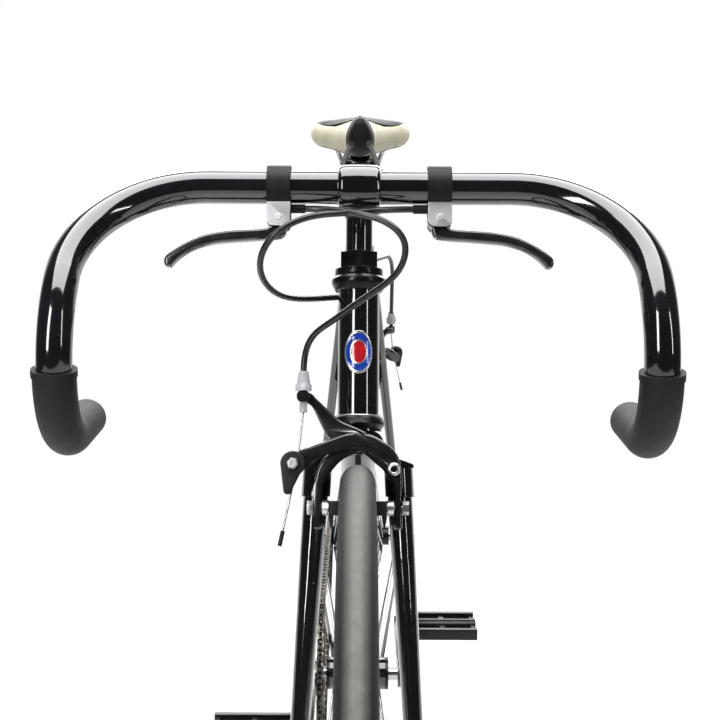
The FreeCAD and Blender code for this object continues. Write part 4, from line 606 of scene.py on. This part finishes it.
def treadMaterial(name, axle):
    material = tyreRubber.copy()
    material.name = name
    tree = material.node_tree
    shader = tree.nodes["Principled BSDF"]
    place = addNode(tree, "ShaderNodeTexCoord").outputs["Object"]
    arm = addNode(tree, "ShaderNodeVectorMath", {"operation": "SUBTRACT", 1: axle}, {0: place}).outputs[0]
    parts = addNode(tree, "ShaderNodeSeparateXYZ", {}, {0: arm})
    angle = addNode(tree, "ShaderNodeMath", {"operation": "ARCTAN2"},
                    {0: parts.outputs["Y"], 1: parts.outputs["Z"]}).outputs[0]
    side = addNode(tree, "ShaderNodeMath", {"operation": "ABSOLUTE"}, {0: parts.outputs["X"]}).outputs[0]
    lean = addNode(tree, "ShaderNodeMath", {"operation": "MULTIPLY", 1: tyreLook["slantPerMetre"]},
                   {0: side}).outputs[0]
    ribs = round(2 * math.pi * tyreLook["treadRadiusMm"] / tyreLook["treadMm"])
    turns = addNode(tree, "ShaderNodeMath", {"operation": "MULTIPLY", 1: ribs}, {0: angle}).outputs[0]
    slant = addNode(tree, "ShaderNodeMath", {"operation": "ADD"}, {0: turns, 1: lean}).outputs[0]
    wave = addNode(tree, "ShaderNodeMath", {"operation": "SINE"}, {0: slant}).outputs[0]
    shoulder = addNode(tree, "ShaderNodeMapRange",
                       {"From Min": tyreLook["treadFromMm"] * mm, "From Max": tyreLook["treadFullMm"] * mm},
                       {"Value": side}).outputs["Result"]
    height = addNode(tree, "ShaderNodeMath", {"operation": "MULTIPLY"}, {0: wave, 1: shoulder}).outputs[0]
    # painted shade: from its grey middle the tyre darkens to the near-black shoulder colour, as light falls off
    # round it
    blendAmount = addNode(tree, "ShaderNodeMapRange",
                   {"From Min": tyreLook["shadeFromMm"] * mm, "From Max": tyreLook["shadeToMm"] * mm},
                   {"Value": side}).outputs["Result"]
    rubber = shader.inputs["Base Color"].links[0].from_socket
    shade = addNode(tree, "ShaderNodeMix", {"data_type": "RGBA", 7: linear(tyreLook["shoulder"])},
                    {0: blendAmount, 6: rubber}).outputs[2]
    tree.links.new(shade, shader.inputs["Base Color"])
    old = shader.inputs["Normal"].links[0].from_socket
    bump = addNode(tree, "ShaderNodeBump",
                   {"Strength": tyreLook["treadStrength"], "Distance": tyreLook["treadDepthMm"] * mm},
                   {"Height": height, "Normal": old})
    tree.links.new(bump.outputs["Normal"], shader.inputs["Normal"])
    return material


for end in ("front", "rear"):
    axle = axisOf(end + "_wheel_spin")[0]
    low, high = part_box(end + "_tyre")
    outer = (high.z - low.z) / 2
    half = (high.x - low.x) / 2
    section = outer - half
    rows = []
    verts = []
    for step in range(tyreLook["around"]):
        turnAngle = 2 * math.pi * step / tyreLook["around"]
        for column in range(tyreLook["across"] + 1):
            lean = math.radians(tyreLook["wrapDegrees"] * (2 * column / tyreLook["across"] - 1))
            radius = section + half * math.cos(lean)
            verts.append((axle.x + half * math.sin(lean), axle.y + radius * math.sin(turnAngle),
                          axle.z + radius * math.cos(turnAngle)))
    wide = tyreLook["across"] + 1
    for step in range(tyreLook["around"]):
        after = (step + 1) % tyreLook["around"]
        for column in range(wide - 1):
            here, there = step * wide + column, after * wide + column
            rows.append((here, there, there + 1, here + 1))
    mesh = bpy.data.meshes.new(end + "_tyre_round")
    mesh.from_pydata(verts, [], rows)
    for face in mesh.polygons:
        face.use_smooth = True
    mesh.materials.append(treadMaterial("file tread rubber " + end, axle))
    piece = bpy.data.objects.new(end + "_tyre_round", mesh)
    bpy.context.scene.collection.objects.link(piece)
    wall = piece.modifiers.new("wall", "SOLIDIFY")
    wall.thickness = tyreLook["wallMm"] * mm
    wall.offset = -1
    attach(piece, end + "_wheel")
    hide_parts(end + "_tyre")
print("stage 6: tyres")

# head badge: plain oval of two enamels in a bright rim, bent round the head tube
badgeLook = {"widthMm": 24, "heightMm": 35, "thicknessMm": 0.9, "rimShare": 0.86, "upShare": 0.5,
             "fieldShare": 0.5, "lineShare": 0.58, "enamelLift": 0.72, "skirtShare": 1.02, "skirtInMm": 0.2,
             "rings": 24, "around": 64}
headPoint, headAxis = axisOf("steer")
headAxis = headAxis if headAxis.z > 0 else headAxis * -1
headAlong = [(vertex.co - headPoint).dot(headAxis) for vertex in nodes["head_tube"].data.vertices]
headRadius = max(((vertex.co - headPoint) - headAxis * (vertex.co - headPoint).dot(headAxis)).length
                 for vertex in nodes["head_tube"].data.vertices)
headSpan = max(headAlong) - min(headAlong)
badgeMiddle = headPoint + headAxis * (min(headAlong) + headSpan * badgeLook["upShare"])
headForward = headAxis.cross(Vector((1, 0, 0))).normalized()
headForward = headForward if headForward.y < 0 else headForward * -1
badgeMesh = bpy.data.meshes.new("head_badge")
work = bmesh.new()
rings = badgeLook["rings"]
around = badgeLook["around"]


def badgePoint(share, angle, lift):
    across = badgeLook["widthMm"] / 2 * mm * share * math.sin(angle)
    rise = badgeLook["heightMm"] / 2 * mm * share * math.cos(angle)
    bend = across / headRadius
    radius = headRadius + lift
    aside = Vector((1, 0, 0)) * (radius * math.sin(bend))
    return badgeMiddle + headAxis * rise + aside + headForward * (radius * math.cos(bend))


grid = []
for ring in range(1, rings + 1):
    share = ring / rings
    lift = badgeLook["thicknessMm"] * mm * (1.0 if share > badgeLook["rimShare"] else badgeLook["enamelLift"])
    grid.append([work.verts.new(badgePoint(share, 2 * math.pi * k / around, lift)) for k in range(around)])
grid.append([work.verts.new(badgePoint(badgeLook["skirtShare"], 2 * math.pi * k / around,
                                       -badgeLook["skirtInMm"] * mm)) for k in range(around)])
centre = work.verts.new(badgePoint(0, 0, badgeLook["thicknessMm"] * mm * badgeLook["enamelLift"]))
for k in range(around):
    after = (k + 1) % around
    face = work.faces.new((centre, grid[0][k], grid[0][after]))
    face.material_index = 1
    for ring in range(len(grid) - 1):
        face = work.faces.new((grid[ring][k], grid[ring + 1][k], grid[ring + 1][after], grid[ring][after]))
        share = (ring + 1.5) / rings
        if share > badgeLook["rimShare"] or badgeLook["fieldShare"] < share < badgeLook["lineShare"]:
            face.material_index = 0
        else:
            face.material_index = 1 if share < badgeLook["lineShare"] else 2
work.normal_update()
bmesh.ops.recalc_face_normals(work, faces=work.faces)
work.to_mesh(badgeMesh)
work.free()
for face in badgeMesh.polygons:
    face.use_smooth = True
for material in (alloy, badgeRed, badgeBlue):
    badgeMesh.materials.append(material)
badge = bpy.data.objects.new("head_badge", badgeMesh)
bpy.context.scene.collection.objects.link(badge)
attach(badge, "frame")

# bright sealing ring between the head tube and its lower cup
sealLook = {"profileMm": [(16.9, 0), (18.5, 0.1), (18.9, 0.8), (18.5, 1.5), (16.9, 1.7), (16.9, 0)],
            "around": 96}
seal = revolved("lower_headset_seal_ring", sealLook["profileMm"], headPoint + headAxis * min(headAlong),
                headAxis, around=sealLook["around"])
seal.data.materials.append(alloy)
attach(seal, "frame")
print("stage 7: badge")

# saddle clamp: upper cradle that presses the rails into the head of the post
cradleLook = {"around": 40, "square": 3.2, "postHeadMm": 12, "sharpDegrees": 50,
              "rings": [(-5, 17, 20), (0, 20, 22), (3, 20, 22), (5, 17.5, 20), (9, 14, 17.5), (14, 13, 16),
                        (16, 11, 14), (16.4, 8, 11)]}  # height, half width and half length in millimetres
headTop = max((vertex.co for vertex in nodes["seatpost"].data.vertices), key=lambda co: co.z)
headPoints = [vertex.co for vertex in nodes["seatpost"].data.vertices
              if vertex.co.z > headTop.z - cradleLook["postHeadMm"] * mm]
headMiddle = Vector((0, (min(p.y for p in headPoints) + max(p.y for p in headPoints)) / 2, headTop.z))
work = bmesh.new()
loops = []
for height, halfWide, halfLong in cradleLook["rings"]:
    loop = []
    for k in range(cradleLook["around"]):
        angle = 2 * math.pi * k / cradleLook["around"]
        power = 2 / cradleLook["square"]
        across = math.copysign(abs(math.cos(angle)) ** power, math.cos(angle)) * halfWide
        along = math.copysign(abs(math.sin(angle)) ** power, math.sin(angle)) * halfLong
        loop.append(work.verts.new(headMiddle + Vector((across, along, height)) * mm))
    loops.append(loop)
for low, high in zip(loops, loops[1:]):
    for k in range(cradleLook["around"]):
        after = (k + 1) % cradleLook["around"]
        work.faces.new((low[k], low[after], high[after], high[k]))
work.faces.new(loops[-1])
work.faces.new(loops[0][::-1])
cradleMesh = bpy.data.meshes.new("saddle_clamp_cradle")
work.to_mesh(cradleMesh)
work.free()
for face in cradleMesh.polygons:
    face.use_smooth = True
cradleMesh.set_sharp_from_angle(angle=math.radians(cradleLook["sharpDegrees"]))
cradleMesh.materials.append(castBlack)
cradle = bpy.data.objects.new("saddle_clamp_cradle", cradleMesh)
bpy.context.scene.collection.objects.link(cradle)
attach(cradle, bodyOf["seatpost"])

# saddle: foam under a tight cover, black on top with cream side panels and a piped seam
saddleLook = {"voxelMm": 5.0, "smoothing": 0.5, "smoothTurns": 6, "startInMm": 2.5, "pressure": 4.0,
              "stretchStiffness": 40, "bendStiffness": 8, "capMm": 6.0, "frames": 20, "fill": 0.75,
              "panelLean": 0.52, "panelFrom": 0.12, "panelTo": 0.94}
saddle = bpy.data.objects.new("saddle_cover", nodes["saddle"].data.copy())
bpy.context.scene.collection.objects.link(saddle)
work = bmesh.new()
work.from_mesh(saddle.data)
bmesh.ops.remove_doubles(work, verts=work.verts, dist=edgePick["weld"])
work.to_mesh(saddle.data)
work.free()
remesh = saddle.modifiers.new("even", "REMESH")
remesh.mode = "VOXEL"
remesh.voxel_size = saddleLook["voxelMm"] * mm
even = saddle.modifiers.new("calm", "SMOOTH")
even.factor = saddleLook["smoothing"]
even.iterations = saddleLook["smoothTurns"]
shrink = saddle.modifiers.new("start", "DISPLACE")
shrink.strength = -saddleLook["startInMm"] * mm
shrink.mid_level = 0.0
mesh = bpy.data.meshes.new_from_object(saddle.evaluated_get(bpy.context.evaluated_depsgraph_get()))
saddle.modifiers.clear()
saddle.data = mesh
start = [vertex.co.copy() for vertex in mesh.vertices]
cloth = saddle.modifiers.new("cover", "CLOTH")
cloth.settings.use_pressure = True
cloth.settings.uniform_pressure_force = saddleLook["pressure"]
cloth.settings.effector_weights.gravity = 0
cloth.settings.tension_stiffness = saddleLook["stretchStiffness"]
cloth.settings.compression_stiffness = saddleLook["stretchStiffness"]
cloth.settings.bending_stiffness = saddleLook["bendStiffness"]
scene = bpy.context.scene
for step in range(1, saddleLook["frames"] + 1):
    scene.frame_set(step)
puffed = bpy.data.meshes.new_from_object(saddle.evaluated_get(bpy.context.evaluated_depsgraph_get()))
scene.frame_set(1)
saddle.modifiers.clear()
most = 0
for vertex, before in zip(puffed.vertices, start):
    move = vertex.co - before
    if move.length > saddleLook["capMm"] * mm:
        move = move.normalized() * saddleLook["capMm"] * mm
    most = max(most, move.length)
    vertex.co = before + move
saddle.data = puffed
print("saddle cover moved at most", round(most / mm, 2), "mm")
finer = saddle.modifiers.new("finer", "SUBSURF")
finer.levels = 1
finer.render_levels = 1
mesh = bpy.data.meshes.new_from_object(saddle.evaluated_get(bpy.context.evaluated_depsgraph_get()))
saddle.modifiers.clear()
saddle.data = mesh
mesh.materials.clear()
mesh.materials.append(vinylBlack)
mesh.materials.append(vinylCream)
saddleLow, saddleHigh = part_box("saddle")
saddleLong = saddleHigh.y - saddleLow.y
for face in mesh.polygons:
    face.use_smooth = True
    along = (face.center.y - saddleLow.y) / saddleLong
    onPanel = saddleLook["panelFrom"] < along < saddleLook["panelTo"]
    face.material_index = 1 if onPanel and abs(face.normal.x) > saddleLook["panelLean"] else 0
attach(saddle, bodyOf["saddle"])
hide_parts("saddle")

# piping: thin black cord along each seam between the top and a side panel
pipingLook = {"radiusMm": 1.1, "points": 30, "from": 0.12, "span": 0.82, "nearMm": 6, "calmReach": 2,
              "roundSteps": 3, "order": 4}
for side in (1, -1):
    seam = []
    for step in range(pipingLook["points"]):
        share = pipingLook["from"] + pipingLook["span"] * step / (pipingLook["points"] - 1)
        along = saddleLow.y + saddleLong * share
        near = [vertex for vertex in mesh.vertices if abs(vertex.co.y - along) < pipingLook["nearMm"] * mm
                and vertex.co.x * side > 0 and vertex.normal.z > 0]
        if near:
            best = min(near, key=lambda vertex: abs(abs(vertex.normal.x) - saddleLook["panelLean"]))
            seam.append(best.co.copy())
    calm = []
    for k in range(len(seam)):
        window = seam[max(0, k - pipingLook["calmReach"]):k + pipingLook["calmReach"] + 1]
        calm.append(sum(window, Vector()) / len(window))
    curve = bpy.data.curves.new("saddle_piping", "CURVE")
    curve.dimensions = "3D"
    curve.bevel_depth = pipingLook["radiusMm"] * mm
    curve.bevel_resolution = pipingLook["roundSteps"]
    spline = curve.splines.new("NURBS")
    spline.points.add(len(calm) - 1)
    for point, co in zip(spline.points, calm):
        point.co = (co.x, co.y, co.z, 1)
    spline.order_u = pipingLook["order"]
    spline.use_endpoint_u = True
    curve.materials.append(vinylBlack)
    piping = bpy.data.objects.new("saddle_piping_" + ("left" if side > 0 else "right"), curve)
    bpy.context.scene.collection.objects.link(piping)
    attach(piping, bodyOf["saddle"])
print("stage 8: saddle")


def raysSeen(tree):
    # rays that come straight to the eye, and rays that come to it by a mirror or through glass
    path = addNode(tree, "ShaderNodeLightPath")
    mirrored = addNode(tree, "ShaderNodeMath", {"operation": "MAXIMUM"},
                       {0: path.outputs["Is Glossy Ray"], 1: path.outputs["Is Transmission Ray"]}).outputs[0]
    return path.outputs["Is Camera Ray"], mirrored


# floor: pale paper that keeps the shadow near the wheels and turns to plain white further out, in metres
floorLook = {"reach": 2.6, "fadeFrom": 0.9, "fadeTo": 1.9}
floorMesh = bpy.data.meshes.new("floor")
corners = [(across * floorLook["reach"], along * floorLook["reach"], 0)
           for across, along in ((-1, -1), (1, -1), (1, 1), (-1, 1))]
floorMesh.from_pydata(corners, [], [(0, 1, 2, 3)])
floor = bpy.data.objects.new("floor", floorMesh)
bpy.context.scene.collection.objects.link(floor)
# even white without a mirror image, only a soft shadow
paperFloor = surface("matte white paper floor", "#f6f6f4", "#f1f1ee", 0.9, 0.05, grainMm=3, grainDepthMm=0.02,
                     mottleMm=400)
floorMesh.materials.append(paperFloor)
floorTree = paperFloor.node_tree
spread = addNode(floorTree, "ShaderNodeVectorMath", {"operation": "LENGTH"},
                 {0: addNode(floorTree, "ShaderNodeTexCoord").outputs["Object"]}).outputs["Value"]
far = addNode(floorTree, "ShaderNodeMapRange",
              {"interpolation_type": "SMOOTHSTEP", "From Min": floorLook["fadeFrom"],
               "From Max": floorLook["fadeTo"]},
              {"Value": spread}).outputs["Result"]
direct, mirrored = raysSeen(floorTree)
either = addNode(floorTree, "ShaderNodeMath", {"operation": "MAXIMUM"}, {0: direct, 1: mirrored}).outputs[0]
share = addNode(floorTree, "ShaderNodeMath", {"operation": "MULTIPLY"}, {0: far, 1: either}).outputs[0]
paper = addNode(floorTree, "ShaderNodeEmission", {"Color": (1, 1, 1, 1), "Strength": 1.0}).outputs[0]
fade = addNode(floorTree, "ShaderNodeMixShader", {},
               {0: share, 1: floorTree.nodes["Principled BSDF"].outputs[0], 2: paper})
floorTree.links.new(fade.outputs[0], floorTree.nodes["Material Output"].inputs["Surface"])

# lights: a large soft box overhead, a strip on each side in front, a wide one behind
lights = {  # name: (place, aim, width, height, watts)
    "overhead": ((0, -0.35, 2.3), (0, -0.25, 0.6), 2.0, 1.7, 72),
    "left strip": ((-0.95, -1.9, 1.35), (0, -0.4, 0.7), 0.36, 1.3, 24),
    "right strip": ((1.7, -1.7, 1.35), (0, -0.4, 0.7), 0.14, 1.3, 8),
    "back": ((0, 2.6, 1.9), (0, 0.3, 0.3), 3.4, 1.4, 70)}
for name, (place, aim, width, height, watts) in lights.items():
    data = bpy.data.lights.new(name, "AREA")
    data.shape = "RECTANGLE"
    data.size = width
    data.size_y = height
    data.energy = watts
    lamp = bpy.data.objects.new(name, data)
    lamp.location = place
    lamp.rotation_euler = (Vector(aim) - Vector(place)).to_track_quat("-Z", "Y").to_euler()
    bpy.context.scene.collection.objects.link(lamp)

# room: white to the eye, and to mirrored rays behind the bicycle; dim in front to keep black paint black
roomLook = {"backFrom": 0.55, "backTo": 0.95, "frontLight": 0.07, "backLight": 1.0}
world = bpy.data.worlds.new("studio")
bpy.context.scene.world = world
world.use_nodes = True
tree = world.node_tree
tree.nodes.clear()
heading = addNode(tree, "ShaderNodeSeparateXYZ", {},
                  {0: addNode(tree, "ShaderNodeTexCoord").outputs["Generated"]})
behind = addNode(tree, "ShaderNodeMapRange",
                 {"From Min": roomLook["backFrom"], "From Max": roomLook["backTo"],
                  "To Min": roomLook["frontLight"], "To Max": roomLook["backLight"]},
                 {"Value": heading.outputs["Y"]}).outputs["Result"]
room = addNode(tree, "ShaderNodeBackground", {"Color": (1, 1, 1, 1)}, {"Strength": behind})
white = addNode(tree, "ShaderNodeBackground", {"Color": (1, 1, 1, 1), "Strength": 1.0})
backdrop = addNode(tree, "ShaderNodeMapRange",
                   {"From Min": roomLook["backFrom"], "From Max": roomLook["backTo"]},
                   {"Value": heading.outputs["Y"]}).outputs["Result"]
direct, mirrored = raysSeen(tree)
mirroredBack = addNode(tree, "ShaderNodeMath", {"operation": "MULTIPLY"},
                       {0: mirrored, 1: backdrop}).outputs[0]
seen = addNode(tree, "ShaderNodeMath", {"operation": "MAXIMUM"}, {0: direct, 1: mirroredBack}).outputs[0]
mixed = addNode(tree, "ShaderNodeMixShader", {}, {0: seen, 1: room.outputs[0], 2: white.outputs[0]})
addNode(tree, "ShaderNodeOutputWorld", {}, {"Surface": mixed.outputs[0]})
print("stage 9: floor, lights and room")
